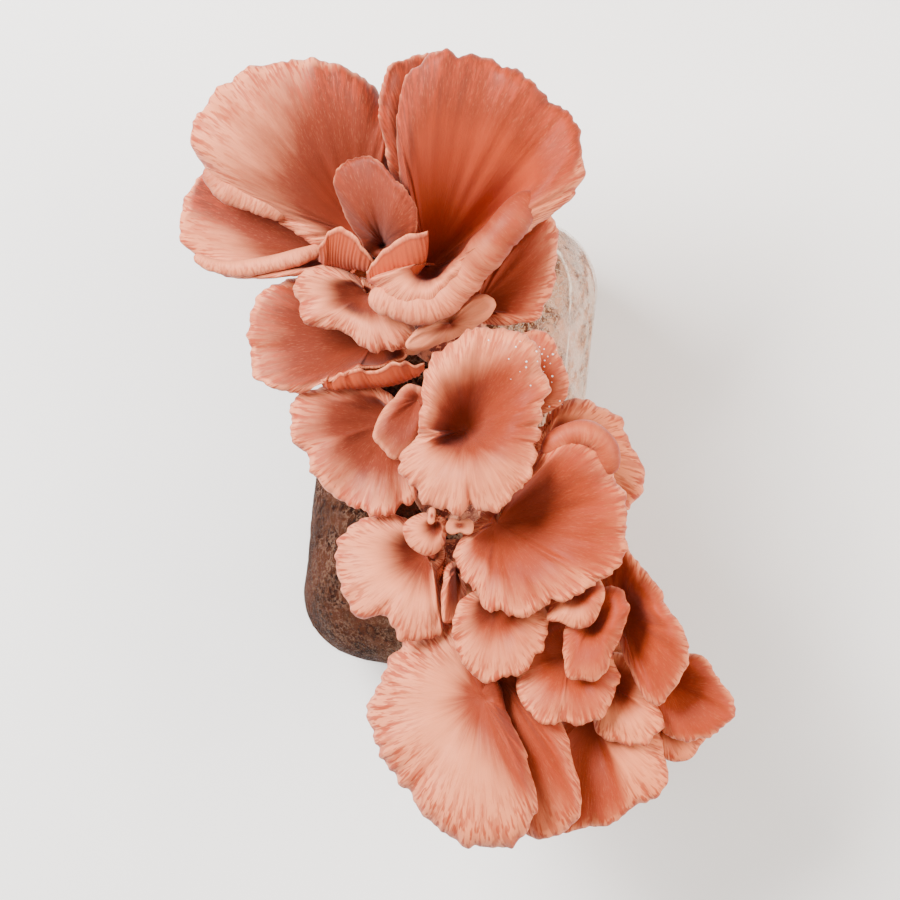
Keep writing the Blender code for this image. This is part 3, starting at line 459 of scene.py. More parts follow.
LEAVES = [
    Leaf("fan_left_lip", "fan_left",
         [(-46.5, 13.5, 117), (-38, 14, 117), (-27, 16, 117), (-19, 18.5, 117), (-13, 23, 118)],
         [(-48.5, 15.5, 120.5), (-43.5, 18.5, 123.5), (-38.5, 20, 124), (-32.5, 21.5, 125), (-27, 22.8, 126),
          (-20, 25.5, 127.5), (-12.5, 25.5, 123.5)], 2.5, waviness=1.7),
    Leaf("young_cup_left", "young_cap_top",
         [(-53.5, 58, 127), (-47.5, 56.5, 127), (-40, 56.5, 129), (-31, 57, 131)],
         [(-53.5, 62.5, 140), (-50.5, 68, 143), (-46, 70, 145), (-41, 68, 146), (-36.5, 63.5, 145),
          (-31, 58, 140)], 3.0),
    Leaf("young_cup_right", "young_cap_top",
         [(-34.5, 52, 138), (-27, 51, 139), (-20, 53.5, 140), (-15.5, 60, 141)],
         [(-35.5, 55, 145), (-32.5, 60, 149), (-28, 65, 152), (-22.5, 69, 153), (-15.5, 71, 150)], 3.0),
]


class Roll(NamedTuple):
    """A margin rolled over so far that it lies as a tube along the edge of its cap. It runs through a
    few places from left to right, each as (angle, reach, rise, radius) seen from the cap's throat.
    Its pallor is how pale it is at its left end, its middle and its right end, and its shade how dark
    its inner side and its under side are, as painted shade."""

    name: str
    parent: str
    pallor: tuple
    path: list
    shade: float = 1.0


ROLLS = [
    Roll("funnel_top_roll", "funnel_top", (1.0, 0.7, 0.0),
         [(-148, 22.7, 25, 3.5), (-137, 20.2, 26, 5.5), (-105, 16.2, 27, 6.3), (-70, 13.8, 27.5, 6.8),
          (-30, 12.6, 29.5, 6.6), (4, 16.4, 34.2, 6.6), (21, 23.2, 39, 6.6), (30, 30.8, 41.6, 6.4),
          (36, 38.6, 41.5, 5.4), (36, 44.6, 39.5, 3.4)]),
    Roll("fan_top_left_roll", "fan_top_left", (0.5, 0.9, 0.7),
         [(162, 59.1, 11, 2.2), (165, 56, 10.5, 3.6), (167, 51.5, 9.5, 4.4), (168, 45.6, 8.5, 4.8),
          (168, 39.5, 7.5, 4.8), (169, 33.4, 6.5, 4.2), (173, 27.4, 5, 2.8)], 0.1),
    Roll("shelf_left_roll", "shelf_left", (0.8, 1.0, 1.0),
         [(-175, 51.7, 6, 1.6), (-171, 45.9, 6, 2.4), (-168, 37.3, 6, 2.9), (-168, 27.8, 6.5, 3.1),
          (-171, 18.2, 7.5, 3.1), (-179, 11.7, 8.5, 3), (155, 6.8, 9.5, 2.4)], 0.3),
    Roll("fan_right_roll", "fan_right", (0.25, 0.45, 0.3),
         [(59, 28.4, 25, 3), (61, 33.7, 26.5, 4), (59, 38.6, 27.5, 4.4), (55, 43.1, 28, 4.4),
          (49, 46.0, 27.5, 4.4), (42, 46.7, 26, 4.4), (36, 45.2, 24, 4), (31, 42.9, 21, 3)]),
]


def around(angles, keys, column):
    """One column of a rim's keys at these angles, in degrees: a smooth curve that never overshoots."""
    at = np.concatenate([keys[:, 0], [keys[0, 0] + 360]])
    value = np.concatenate([keys[:, column], [keys[0, column]]])
    step = np.diff(at)
    slope = np.diff(value) / step
    before, after = np.roll(slope, 1), slope
    same = before * after > 0
    tangent = np.where(same, 2 * before * after / np.where(same, before + after, 1), 0)
    tangent = np.append(tangent, tangent[0])
    turned = (np.asarray(angles) - at[0]) % 360 + at[0]
    k = np.clip(np.searchsorted(at, turned, side="right") - 1, 0, len(step) - 1)
    t = (turned - at[k]) / step[k]
    start, end = value[k], value[k + 1]
    return (
        (1 + 2 * t) * (1 - t) ** 2 * start
        + t**2 * (3 - 2 * t) * end
        + step[k] * t * (1 - t) * ((1 - t) * tangent[k] - t * tangent[k + 1])
    )


class Rim:
    """A mushroom's rim at a number of spokes: how far, how high, how rolled, how bulged, how curled."""

    def __init__(self, mushroom, angles):
        self.angles = angles

        def columns(keys):
            return [around(angles, keys, column) for column in (1, 2, 3, 4)]

        self.reach, self.rise, self.roll, self.bulge = columns(mushroom.keys)
        self.cup, self.hollow, self.crown, self.bloom = columns(mushroom.shape)
        slope = (around(angles + 1, mushroom.keys, 1) - around(angles - 1, mushroom.keys, 1)) / np.radians(2)
        self.slant = np.clip(np.hypot(1, slope / self.reach), 1, MOST_SLANT)
        self.curl = np.full(len(angles), CURL)
        self.reach_wave, self.rise_wave, self.ridge, self.pleat = np.zeros((4, len(angles)))


def spoke_angles(mushroom, count):
    """Angles of the spokes, closer together where the rim is far away."""
    fine = np.linspace(0, 360, 1441)
    reach = around(fine, mushroom.keys, 1)
    edge = np.hypot(reach, np.gradient(reach, np.radians(fine)))
    weight = edge + 0.55 * edge.mean()
    total = np.concatenate([[0], np.cumsum((weight[1:] + weight[:-1]) / 2)])
    return np.interp(np.arange(count) / count * total[-1], total, fine)


def section(rim, place):
    """Radius, height and tangent of the upper skin at one place on the section, for each spoke."""
    waved = np.interp(place, (0.5, 1.0), (0, 1)) ** 1.5
    reach, rise = rim.reach + waved * rim.reach_wave, rim.rise + waved * rim.rise_wave
    crest = np.maximum(reach - rim.roll * rim.slant, 0.3 * reach)
    hollow = np.minimum(rim.hollow, 0.6 * crest)
    corners = [
        (0 * crest, 0 * crest),
        (hollow, 0.02 * rise),
        (hollow + (0.1 + 0.2 * rim.cup) * crest + rim.bulge, (0.78 - 0.5 * rim.cup) * rise),
        ((0.6 + 0.2 * rim.cup) * crest + 1.3 * rim.bulge, rim.crown * rise),
        (crest, rise),
    ]
    t = min(place, 1.0)
    share = ((1 - t) ** 4, 4 * t * (1 - t) ** 3, 6 * t**2 * (1 - t) ** 2, 4 * t**3 * (1 - t), t**4)
    radius = sum(s * c[0] for s, c in zip(share, corners))
    height = sum(s * c[1] for s, c in zip(share, corners))
    legs = [(b[0] - a[0], b[1] - a[1]) for a, b in zip(corners, corners[1:])]
    pull = ((1 - t) ** 3, 3 * t * (1 - t) ** 2, 3 * t**2 * (1 - t), t**3)
    along = sum(p * leg[0] for p, leg in zip(pull, legs))
    up = sum(p * leg[1] for p, leg in zip(pull, legs))
    size = np.maximum(np.hypot(along, up), 1e-6)
    along, up = along / size, up / size
    if place > 1:
        turn = (place - 1) * np.radians(rim.curl) * np.where(rim.bulge > 0.5, 0.35, 1)
        start = np.arctan2(up, along)
        past = rim.slant + (1 - rim.slant) * min(1, 2.5 * (place - 1))
        radius = radius + rim.roll * (rim.slant * np.sin(turn - start) + past * np.sin(start))
        height = height + rim.roll * (np.cos(turn - start) - np.cos(start))
        along, up = np.cos(start - turn), np.sin(start - turn)
    return radius, height, along, up


def skin_ring(mushroom, rim, place, under):
    """A ring of points on the cap's upper skin, or on its under side."""
    radius, height, along, up = section(rim, place)
    relief = rim.ridge * np.interp(place, (0.55, 1.0, 1.6, 2), (0, 0.8, 1, 0.4))
    relief = relief + rim.pleat * np.interp(place, (0.25, 0.6, 0.9, 1.2), (0, 1, 0.3, 0))
    radius, height = radius - relief * up, height + relief * along
    if under:
        depth = np.interp(place, (0, 1.2, 2), (mushroom.thick[0], mushroom.thick[1], mushroom.thick[1]))
        radius = radius + depth * up * rim.slant
        height = height - depth * along
    turn = np.radians(rim.angles)
    ring = np.stack([radius * np.cos(turn), radius * np.sin(turn), height], axis=1) + mushroom.throat
    ring[:, 2] += lift_at(mushroom, rim.angles, place)
    return ring


def lift_at(mushroom, angles, place):
    """How far the cap is raised there to rest on those below it."""
    if mushroom.lift is None:
        return 0
    places, steps, field = mushroom.lift
    low = np.clip(np.searchsorted(places, place) - 1, 0, len(places) - 2)
    share = (place - places[low]) / (places[low + 1] - places[low])
    row = (1 - share) * field[low] + share * field[low + 1]
    return np.interp(np.asarray(angles) % 360, np.append(steps, 360), np.append(row, row[0]))


def bag_radius(y, radius):
    """The radius of the filled bag along its length: full, with rounded ends."""
    inset = BAG_RADIUS - radius
    from_end = np.minimum(y - (BAG_BOTTOM_Y + inset), BAG_TOP_Y - inset - y)
    share = np.clip(1 - from_end / END_ROUNDING, 0, 1)
    return radius - END_ROUNDING * (1 - np.sqrt(1 - share**2))


def block_height(x, y):
    """Height of the block's upper side."""
    return AXIS_HEIGHT + np.sqrt(np.maximum(bag_radius(y, BLOCK_RADIUS) ** 2 - x**2, 0))


def base_height(x, y):
    """Height of the knots of stems, or of the block where there is none."""
    dome = np.zeros(np.shape(x))
    for base in BASES:
        dome = np.maximum(dome, base.dome * (1 - base.share(x, y)))
    return block_height(x, y) + UNDER_KNOT + dome


def turned_from_up(direction):
    """The two axes across a stem that runs in this direction, least twisted from X and Y."""
    a, b, c = direction
    k = 1 / (1 + max(c, -0.95))
    return np.array([1 - a * a * k, -a * b * k, -a]), np.array([-a * b * k, 1 - b * b * k, -b])


def stem_rings(mushroom, angles, top_ring, places):
    """Rings from under the cap down to the foot, bending over on the way."""
    start = top_ring.mean(axis=0)
    x, y = mushroom.foot
    foot = np.array([x, y, base_height(x, y)])
    span = np.linalg.norm(foot - start)
    leave = foot - start + np.array([0, 0, -0.6 * span])
    bend = start + leave / np.linalg.norm(leave) * 0.5 * span
    own = np.hypot(*(top_ring - start)[:, :2].T)
    even = np.arange(len(angles)) / len(angles) * 360 + angles[0]
    lean = np.array([x, 0, block_height(x, y) - AXIS_HEIGHT])
    lean = lean / np.linalg.norm(lean)
    rings = []
    for share in places:
        centre = (1 - share) ** 2 * start + 2 * share * (1 - share) * bend + share**2 * foot
        down = (1 - share) * (bend - start) + share * (foot - bend)
        up = -down / np.linalg.norm(down)
        up = (1 - share) ** 2 * np.array([0, 0, 1]) + 2 * share * (1 - share) * up + share**2 * lean
        first, second = turned_from_up(up / np.linalg.norm(up))
        turn = np.radians((1 - share) * angles + share * even)
        radius = (1 - share) ** 2 * own + (1 - (1 - share) ** 2) * mushroom.stem
        rings.append(
            centre
            + (radius * np.cos(turn))[:, None] * first
            + (radius * np.sin(turn))[:, None] * second
        )
    edge = np.concatenate([[foot], rings[-1]])
    sunk = np.max(base_height(edge[:, 0], edge[:, 1]) - edge[:, 2]) + FIT_GAP
    raise_by = np.array([0, 0, sunk])
    return [ring + share**2 * raise_by for ring, share in zip(rings, places)], foot + raise_by


def lattice(mushroom, rim, upper, under, stem):
    """The mushroom as rings from its throat, over the margin, back under and down to the foot."""
    rings = [skin_ring(mushroom, rim, place, False) for place in upper]
    rings += [skin_ring(mushroom, rim, place, True) for place in under]
    more, foot = stem_rings(mushroom, rim.angles, rings[-1], stem)
    top = mushroom.throat + np.array([0, 0, np.mean(lift_at(mushroom, rim.angles, 0))])
    return top, np.array(rings + more), foot


class HeightMap:
    """The highest point so far over each square of the ground, in steps of 1.5 mm."""

    STEP = 1.5
    LOW = np.array([-125.0, -165.0])
    CELLS = (167, 215)

    def __init__(self):
        self.height = np.zeros(self.CELLS)

    def cells(self, points):
        at = np.floor((points[:, :2] - self.LOW) / self.STEP).astype(int)
        return np.clip(at[:, 0], 0, self.CELLS[0] - 1), np.clip(at[:, 1], 0, self.CELLS[1] - 1)

    def add(self, rings):
        grid = np.concatenate([rings, rings[:, :1]], axis=1)
        parts = np.linspace(0, 1, 7)
        for a in parts:
            for b in parts:
                across = (1 - a) * grid[:-1] + a * grid[1:]
                points = ((1 - b) * across[:, :-1] + b * across[:, 1:]).reshape(-1, 3)
                np.maximum.at(self.height, self.cells(points), points[:, 2])

    def under(self, points):
        """The height under each point, over the square that it is in and those next to it."""
        i, j = self.cells(points)
        found = [
            self.height[np.clip(i + di, 0, self.CELLS[0] - 1), np.clip(j + dj, 0, self.CELLS[1] - 1)]
            for di in (-1, 0, 1)
            for dj in (-1, 0, 1)
        ]
        return np.max(found, axis=0)


def blurred(field):
    """Each value averaged with those next to it, round the cap and out along it."""
    wide = (np.roll(field, 1, axis=1) + field + np.roll(field, -1, axis=1)) / 3
    padded = np.concatenate([wide[:1], wide, wide[-1:]])
    return (padded[:-2] + padded[1:-1] + padded[2:]) / 3


def settle(mushrooms):
    """Raises each cap where it would sink into those below it, smoothly over the whole cap."""
    ground = HeightMap()
    steps = np.arange(0, 360, 5.0)
    places = np.array([0, 0.12, 0.25, 0.4, 0.55, 0.7, 0.85, 1.0, 1.15, 1.4, 1.7, 2.0])
    for mushroom in mushrooms:
        rim = Rim(mushroom, steps)
        need = []
        for place in places:
            low = skin_ring(mushroom, rim, max(place, 0.12), True)
            top = skin_ring(mushroom, rim, max(place, 0.12), False)
            floor = np.maximum(ground.under(low), ground.under(top))
            need.append(floor + CLEARANCE - np.minimum(low, top)[:, 2])
        need = np.maximum(np.array(need), 0)
        need[0] = need[1]
        field = need
        for _ in range(40):
            field = np.maximum(need, blurred(field))
        for _ in range(EVEN_OUT):
            field = blurred(field)
        field = field + max(np.max(need - field) - SPARE, 0)
        field[0] = field[1].mean()
        mushroom.lift = (places, steps, field)
        rim = Rim(mushroom, spoke_angles(mushroom, 48))
        inner = (0.1, 0.25, 0.4, 0.55, 0.7, 0.85, 1.0, 1.2, 1.5, 2.0)
        _, rings, _ = lattice(mushroom, rim, inner, (2.0, 1.0, 0.5, 0.16), (0.25, 0.5, 0.75, 1.0))
        ground.add(rings)


def waves(rng, turn, crests, terms=6):
    """A random wave round the rim with about this many crests, mostly between -1 and 1."""
    total = 0
    for _ in range(terms):
        number = max(1, round(crests * rng.uniform(0.55, 1.45)))
        total = total + np.sin(math.tau * (number * turn + rng.random()))
    return total * 0.9 / math.sqrt(terms)


def notches(rng, turn, length, number, widest):
    """Narrow dips at random places round the rim, from 0 down to -1."""
    dips = np.zeros(len(turn))
    for _ in range(number):
        away = np.abs((turn - rng.random() + 0.5) % 1 - 0.5) * length
        depth = rng.uniform(0.4, 1)
        dips = np.minimum(dips, -depth * np.exp(-((away / (widest * rng.uniform(0.4, 1))) ** 2)))
    return dips


def seed_of(name):
    """A seed of each name's own, the same in every run."""
    return sum(ord(letter) * 31**k for k, letter in enumerate(name[::-1])) % 2**32


def ruffle(mushroom, rim, length, grown):
    """Waves, crimps and notches the margin, and puts ridges and pleats in the skin."""
    rng = np.random.default_rng(seed_of(mushroom.name))
    turn = np.arange(len(rim.angles)) / len(rim.angles)
    size = {"large": 1, "middle": 0.8, "small": 0.5}[mushroom.size]
    x, y = rim.reach * np.cos(np.radians(rim.angles)), rim.reach * np.sin(np.radians(rim.angles))
    spacing = np.hypot(np.roll(x, -1) - x, np.roll(y, -1) - y)
    close = np.clip(blurred(np.tile(spacing / spacing.mean(), (3, 1)))[1], 0.15, 1)
    free = size * close**1.5 * np.clip((rim.reach - 8) / 16, 0, 1) * np.where(rim.bulge > 0.5, 0.4, 1)
    crisp = free * close**2
    dips = notches(rng, turn, length, round(length / 38), 2.6)

    def wave(spacing):
        return waves(rng, turn, length / spacing)

    rim.reach_wave = free * grown.ruffle / MM * (0.7 * wave(17) + 0.42 * wave(7))
    rim.reach_wave = rim.reach_wave + crisp * grown.ruffle / MM * 0.2 * wave(3)
    rim.reach_wave = rim.reach_wave + crisp * grown.notch / MM * dips
    rim.rise_wave = crisp * grown.ruffle / MM * (0.8 * wave(26) + 0.16 * wave(9) + 0.9 * dips)
    # A wide roll is left even.
    steady = crisp * np.minimum(1, (4.4 / rim.roll) ** 2)
    rim.roll = rim.roll * (1 + 0.25 * steady * wave(12))
    rim.curl = rim.curl + 22 * steady * wave(15) + 8 * steady * wave(5)
    rim.ridge = crisp * grown.ridge / MM * (wave(4.2) + 0.6 * wave(2))
    rim.pleat = crisp * 0.1 * wave(40)


def set_vertex_values(mesh, name, values, kind="FLOAT"):
    """Stores a value, or a vector, on each of a mesh's vertices."""
    slot = mesh.attributes.new(name, kind, "POINT")
    key = "vector" if kind == "FLOAT_VECTOR" else "value"
    slot.data.foreach_set(key, np.ravel(values).astype(np.float32))


def closed_mesh(name, rings, first, last):
    """A mesh over closed rings of points, with a point at either end. The ends come last."""
    levels, count = rings.shape[:2]
    points = np.concatenate([rings.reshape(-1, 3), [first], [last]]) * MM
    here = np.arange(count)
    beside = (here + 1) % count
    rows = np.arange(levels - 1)[:, None] * count
    quads = np.stack([rows + here, rows + count + here, rows + count + beside, rows + beside], axis=-1)
    top, bottom = levels * count, levels * count + 1
    under = (levels - 1) * count
    caps = np.concatenate([
        np.stack([here, beside, np.full(count, top)], axis=-1),
        np.stack([under + beside, under + here, np.full(count, bottom)], axis=-1),
    ])
    corners = np.concatenate([quads.ravel(), caps.ravel()])
    sides = np.concatenate([np.full(quads.size // 4, 4), np.full(len(caps), 3)])
    mesh = bpy.data.meshes.new(name)
    mesh.vertices.add(len(points))
    mesh.vertices.foreach_set("co", points.ravel())
    mesh.loops.add(len(corners))
    mesh.loops.foreach_set("vertex_index", corners)
    mesh.polygons.add(len(sides))
    mesh.polygons.foreach_set("loop_start", np.concatenate([[0], np.cumsum(sides)[:-1]]))
    mesh.update(calc_edges=True)
    mesh.shade_smooth()
    return mesh


def from_bmesh(name, bm):
    """A mesh of what has been modelled."""
    mesh = bpy.data.meshes.new(name)
    bm.to_mesh(mesh)
    bm.free()
    return mesh


def linked(name, data):
    """An object with this mesh, light or camera, in the scene."""
    obj = bpy.data.objects.new(name, data)
    bpy.context.scene.collection.objects.link(obj)
    return obj


def grown_mesh(mushroom, grown):
    """The mushroom's mesh, with what its material and its gills read stored on it."""
    rough = Rim(mushroom, spoke_angles(mushroom, 96))
    edge = skin_ring(mushroom, rough, 1.0, False)
    length = np.linalg.norm(edge - np.roll(edge, 1, axis=0), axis=1).sum()
    gills = int(np.clip(round(length / (grown.gill_spacing / MM)), 22, grown.most_gills))
    count = 4 * gills
    rim = Rim(mushroom, spoke_angles(mushroom, count))
    ruffle(mushroom, rim, length, grown)
    top, rings, foot = lattice(mushroom, rim, UPPER, UNDER, STEM)
    mesh = closed_mesh(mushroom.name, rings, top, foot)
    out = np.concatenate([UPPER, 2 + (2 - UNDER), 4 + STEM])
    steps = np.linalg.norm(np.diff(rings, axis=0, prepend=rings[:1]), axis=2)
    steps[0] = np.linalg.norm(rings[0] - top, axis=1)
    run = np.cumsum(steps, axis=0)
    turn = np.arange(count) / count
    girth = length / math.tau
    grain = np.stack([
        np.broadcast_to(girth * np.cos(math.tau * turn), run.shape),
        np.broadcast_to(girth * np.sin(math.tau * turn), run.shape),
        run,
    ], axis=-1)
    crest = rings[CREST_RING, :, 2]
    # How far below its crest each point lies: the throat's deeper colour, partly painted shade, grows with
    # it.
    deep = np.clip(mushroom.shade * (crest[None, :] - rings[:, :, 2]) / (grown.deep_at / MM), 0, 1)
    deep[len(UPPER):] = 0
    gill = np.interp(out, (2.0, 2.25, 3.5, 4.3, 4.9), (0, 1, 1, 0.5, 0))[:, None] * np.ones(count)
    pale = np.clip((out[:, None] - rim.bloom[None, :]) / 0.6, 0, 1)

    def with_ends(values, first, last):
        return np.concatenate([np.reshape(values, (-1,) + np.shape(first)), [first], [last]])

    # Pink at the left of the heap to orange at the right, partly painted light.
    warmth = np.interp(rings[:, :, 0], WARMTH_X, (0, 1))
    for name, values, first, last in (
        ("out", np.repeat(out, count), 0.0, 5.0),
        ("turn", np.tile(turn, len(out)), 0.0, 0.0),
        ("gill", gill, 0.0, 0.0),
        ("deep", deep, float(deep[0].mean()), 0.0),
        ("pale", pale, 0.0, 1.0),
        ("warmth", warmth, float(warmth[0].mean()), float(warmth[-1].mean())),
    ):
        set_vertex_values(mesh, name, with_ends(values, first, last))
    set_vertex_values(mesh, "lined", np.full(len(mesh.vertices), mushroom.streaks))
    grain = with_ends(grain, (0.0, 0.0, 0.0), (0.0, 0.0, float(run[-1].mean())))
    set_vertex_values(mesh, "grain", grain, "FLOAT_VECTOR")
    return mesh, gills


def unit(vectors):
    """Vectors brought to length 1."""
    return vectors / np.linalg.norm(vectors, axis=1)[:, None]


def smooth_path(points, count):
    """A smooth curve through a few places."""
    points = np.array(points, float)
    p = np.concatenate([[2 * points[0] - points[1]], points, [2 * points[-1] - points[-2]]])
    at = np.linspace(0, len(points) - 1, count)
    k = np.minimum(at.astype(int), len(points) - 2)
    t = (at - k)[:, None]
    a, b, c, d = p[k], p[k + 1], p[k + 2], p[k + 3]
    return b + 0.5 * ((c - a) * t + (2 * a - 5 * b + 4 * c - d) * t**2 + (3 * b - a - 3 * c + d) * t**3)


def leaf_mesh(leaf, grown):
    """A leaf as rings round its section, from one end to the other, gills on its outer side."""
    length = np.linalg.norm(np.diff(leaf.rim, axis=0), axis=1).sum()
    gills = max(8, round(0.8 * length / (grown.gill_spacing / MM)))
    count = 4 * gills
    rng = np.random.default_rng(len(leaf.name))
    turn = np.linspace(0, 1, count)
    root, rim = smooth_path(leaf.root, count), smooth_path(leaf.rim, count)
    rim = rim + leaf.waviness * waves(rng, turn, length / 9)[:, None] * (0.2, 0.6, 0.8)
    along = np.gradient(rim + root, axis=0)
    outward = unit(np.cross(along, rim - root))
    ends = np.clip(np.sin(math.pi * np.linspace(0.02, 0.98, count)) * 4, 0, 1)[:, None] ** 0.5
    ruffled = 0.5 * leaf.waviness * waves(rng, turn, length / 6)[:, None]

    def middle(t):
        lean = root + (rim - root) * t
        return lean + outward * (4 * leaf.bow * t * (1 - t) + 1.2 * t**6 + ruffled * t**2) * ends

    sides = np.linspace(0, 1, LEAF_SIDES)
    outer = [middle(t) + outward * ends * leaf.thick * (0.6 - 0.25 * t) for t in sides]
    inner = [middle(t) - outward * ends * leaf.thick * (0.6 - 0.25 * t) for t in sides[::-1]]
    tip = middle(1.0) + unit(rim - root) * 0.4 * leaf.thick
    rings = np.stack(outer + [tip] + inner, axis=1)
    mesh = closed_mesh(leaf.name, rings, rings[0].mean(axis=0), rings[-1].mean(axis=0))
    around_section = rings.shape[1]
    out = np.interp(sides, (0, 0.8, 1), (3.3, 2.6, 1.8))
    out = np.concatenate([out, [1.4], np.linspace(1.1, 0.6, LEAF_SIDES)])
    gill = np.concatenate([np.interp(sides, (0, 0.1, 0.85, 1), (0.3, 1, 1, 0)), np.zeros(LEAF_SIDES + 1)])
    up = np.concatenate([sides, [1.1], sides[::-1]]) * np.linalg.norm(rim - root, axis=1).mean()
    grain = np.stack([
        np.repeat(turn * length, around_section), np.zeros(rings.size // 3), np.tile(up, count)
    ], axis=-1)
    for name, values, ends in (
        ("out", np.tile(out, count), (2.5, 2.5)),
        ("gill", np.tile(gill, count), (0.0, 1.0)),
        ("turn", np.repeat(turn, around_section), (0.0, 1.0)),
        ("pale", np.tile((out > 1.2) & (out < 2), count), (False, False)),
    ):
        set_vertex_values(mesh, name, np.append(values, ends))
    # Each leaf is a little darkened all over, partly as painted shade.
    for name, value in (("deep", 0.25), ("warmth", 0.15), ("lined", 0.5)):
        set_vertex_values(mesh, name, np.full(len(mesh.vertices), value))
    set_vertex_values(mesh, "grain", np.concatenate([grain, [(0, 0, 0), (length, 0, 0)]]), "FLOAT_VECTOR")
    return mesh, gills


def roll_mesh(roll, parent):
    """A roll as rings round its tube, closed and rounded at both ends."""
    keys = np.array(roll.path, float)
    angles = np.radians(keys[:, 0])
    lift = np.array([lift_at(parent, key[:1], 0.95)[0] for key in keys])
    middles = (keys[:, 1] * np.cos(angles), keys[:, 1] * np.sin(angles), keys[:, 2] + lift, keys[:, 3])
    course = smooth_path(np.stack(middles, axis=-1), ROLL_RINGS)
    centre, radius = course[:, :3] + parent.throat, course[:, 3]
    steps = np.linalg.norm(np.diff(centre, axis=0, prepend=centre[:1]), axis=1)
    run = np.cumsum(steps)
    to_end = np.minimum(run, run[-1] - run)
    radius = radius * np.sqrt(1 - np.clip(1 - to_end / radius, 0, 0.98) ** 2)
    ahead = unit(np.gradient(centre, axis=0))
    aside = unit(np.cross(ahead, (0, 0, 1)))
    upward = np.cross(aside, ahead)
    rng = np.random.default_rng(len(roll.name))
    along = run / run[-1]
    swell = 0.05 * waves(rng, along, run[-1] / 14)
    crimp = 0.035 * waves(rng, along, run[-1] / 5) + 0.016 * waves(rng, along, run[-1] / 2.2)
    turn = np.linspace(0, math.tau, ROLL_SIDES, endpoint=False)
    outer = np.clip(np.cos(turn + 0.3), 0, 1)
    size = radius[:, None] * (1 + swell[:, None] + crimp[:, None] * outer)
    rings = (
        centre[:, None]
        + (size * np.cos(turn))[:, :, None] * aside[:, None]
        + (size * np.sin(turn))[:, :, None] * upward[:, None]
    )
    mesh = closed_mesh(roll.name, rings, centre[0], centre[-1])
    # Round the tube, from its outer side over its top and its inner side to below: paler on top, as painted
    # light, and darker on its inner side and below, as painted shade.
    side = np.degrees(turn)
    inner = 0.9 - 0.65 * roll.shade
    pallor = np.interp(along, (0, 0.5, 1), roll.pallor)
    even = np.ones(len(run))
    top = ROLL_SIDES // 4
    for name, share, values in (
        ("out", even, np.interp(side, (0, 90, 180, 270, 360), (1.5, 0.95, 0.6, 1.9, 1.5))),
        ("pale", pallor, np.interp(side, (0, 40, 110, 180, 270, 360), (0.5, 1, 0.95, inner, 0.2, 0.5))),
        ("deep", even, roll.shade * np.interp(side, (0, 130, 200, 270, 360), (0, 0.05, 0.55, 0.6, 0))),
        ("lined", even, np.full(ROLL_SIDES, 0.55)),
    ):
        spread = (share[:, None] * values).ravel()
        set_vertex_values(mesh, name, np.append(spread, (spread[top], spread[top - ROLL_SIDES])))
    place = np.zeros(3 * len(mesh.vertices))
    mesh.vertices.foreach_get("co", place)
    set_vertex_values(mesh, "warmth", np.interp(place[::3] / MM, WARMTH_X, (0, 1)))
    run_round = (np.repeat(run, ROLL_SIDES), np.zeros(run.size * ROLL_SIDES), np.tile(turn * 6, len(run)))
    grain = np.concatenate([np.stack(run_round, axis=-1), [(0, 0, 0), (run[-1], 0, 0)]])
    set_vertex_values(mesh, "grain", grain, "FLOAT_VECTOR")
    return mesh


def named_node(tree, kind, place, inputs=None, **settings):
    """A node at a place on the editor's grid, its settings made, its inputs wired or set."""
    node = tree.nodes.new(kind)
    node.location = (place[0] * NODE_STEP, -place[1] * NODE_STEP)
    for key, value in settings.items():
        setattr(node, key, value)
    for key, value in (inputs or {}).items():
        put(tree, node.inputs[key], value)
    return node


def gills_tree():
    """Geometry Nodes: ridges on the under side of a cap, from the margin down on to the stem."""
    inputs = (
        ("Geometry", "Geometry"), ("Gills", "Float", 60.0), ("Depth", "Float", 0.001),
        ("Material", "Material"),
    )
    tree, given, made = new_tree("Gills", "GeometryNodeTree", inputs, (("Geometry", "Geometry"),))
    gills = product(tree, (1, 1), stored(tree, (0, 1), "turn"), given["Gills"])
    wave = computed(tree, (3, 1), "COSINE", product(tree, (2, 1), gills, math.tau))
    share = product(tree, (4, 1), wave, stored(tree, (0, 2), "gill"))
    height = product(tree, (5, 1), share, given["Depth"])
    normal = named_node(tree, "GeometryNodeInputNormal", (4, 2)).outputs["Normal"]
    offset = named_node(
        tree, "ShaderNodeVectorMath", (6, 1), {"Vector": normal, "Scale": height}, operation="SCALE"
    )
    move = {"Geometry": given["Geometry"], "Offset": offset.outputs["Vector"]}
    moved = named_node(tree, "GeometryNodeSetPosition", (6, 0), move)
    put(tree, made["Geometry"], finished(tree, moved.outputs["Geometry"], given["Material"]))
    return tree


def stored(tree, place, name):
    """A value that a mesh carries, as Geometry Nodes read it."""
    kind = "GeometryNodeInputNamedAttribute"
    return named_node(tree, kind, place, {"Name": name}, data_type="FLOAT").outputs["Attribute"]


def finished(tree, geometry, material):
    """The end of a Geometry Nodes tree: instances made real, and the material set."""
    realized = named_node(tree, "GeometryNodeRealizeInstances", (7, 0), {"Geometry": geometry})
    inputs = {"Geometry": realized.outputs["Geometry"], "Material": material}
    return named_node(tree, "GeometryNodeSetMaterial", (7, 1), inputs).outputs["Geometry"]


def through_nodes(obj, tree, **values):
    """Runs an object through a Geometry Nodes tree and leaves it a plain mesh."""
    modifier = obj.modifiers.new(tree.name, "NODES")
    modifier.node_group = tree
    for item in tree.interface.items_tree:
        if item.item_type == "SOCKET" and item.in_out == "INPUT" and item.name in values:
            modifier[item.identifier] = values[item.name]
    graph = bpy.context.evaluated_depsgraph_get()
    result = bpy.data.meshes.new_from_object(obj.evaluated_get(graph), depsgraph=graph)
    obj.modifiers.remove(modifier)
    before = obj.data
    result.name = before.name
    obj.data = result
    bpy.data.meshes.remove(before)


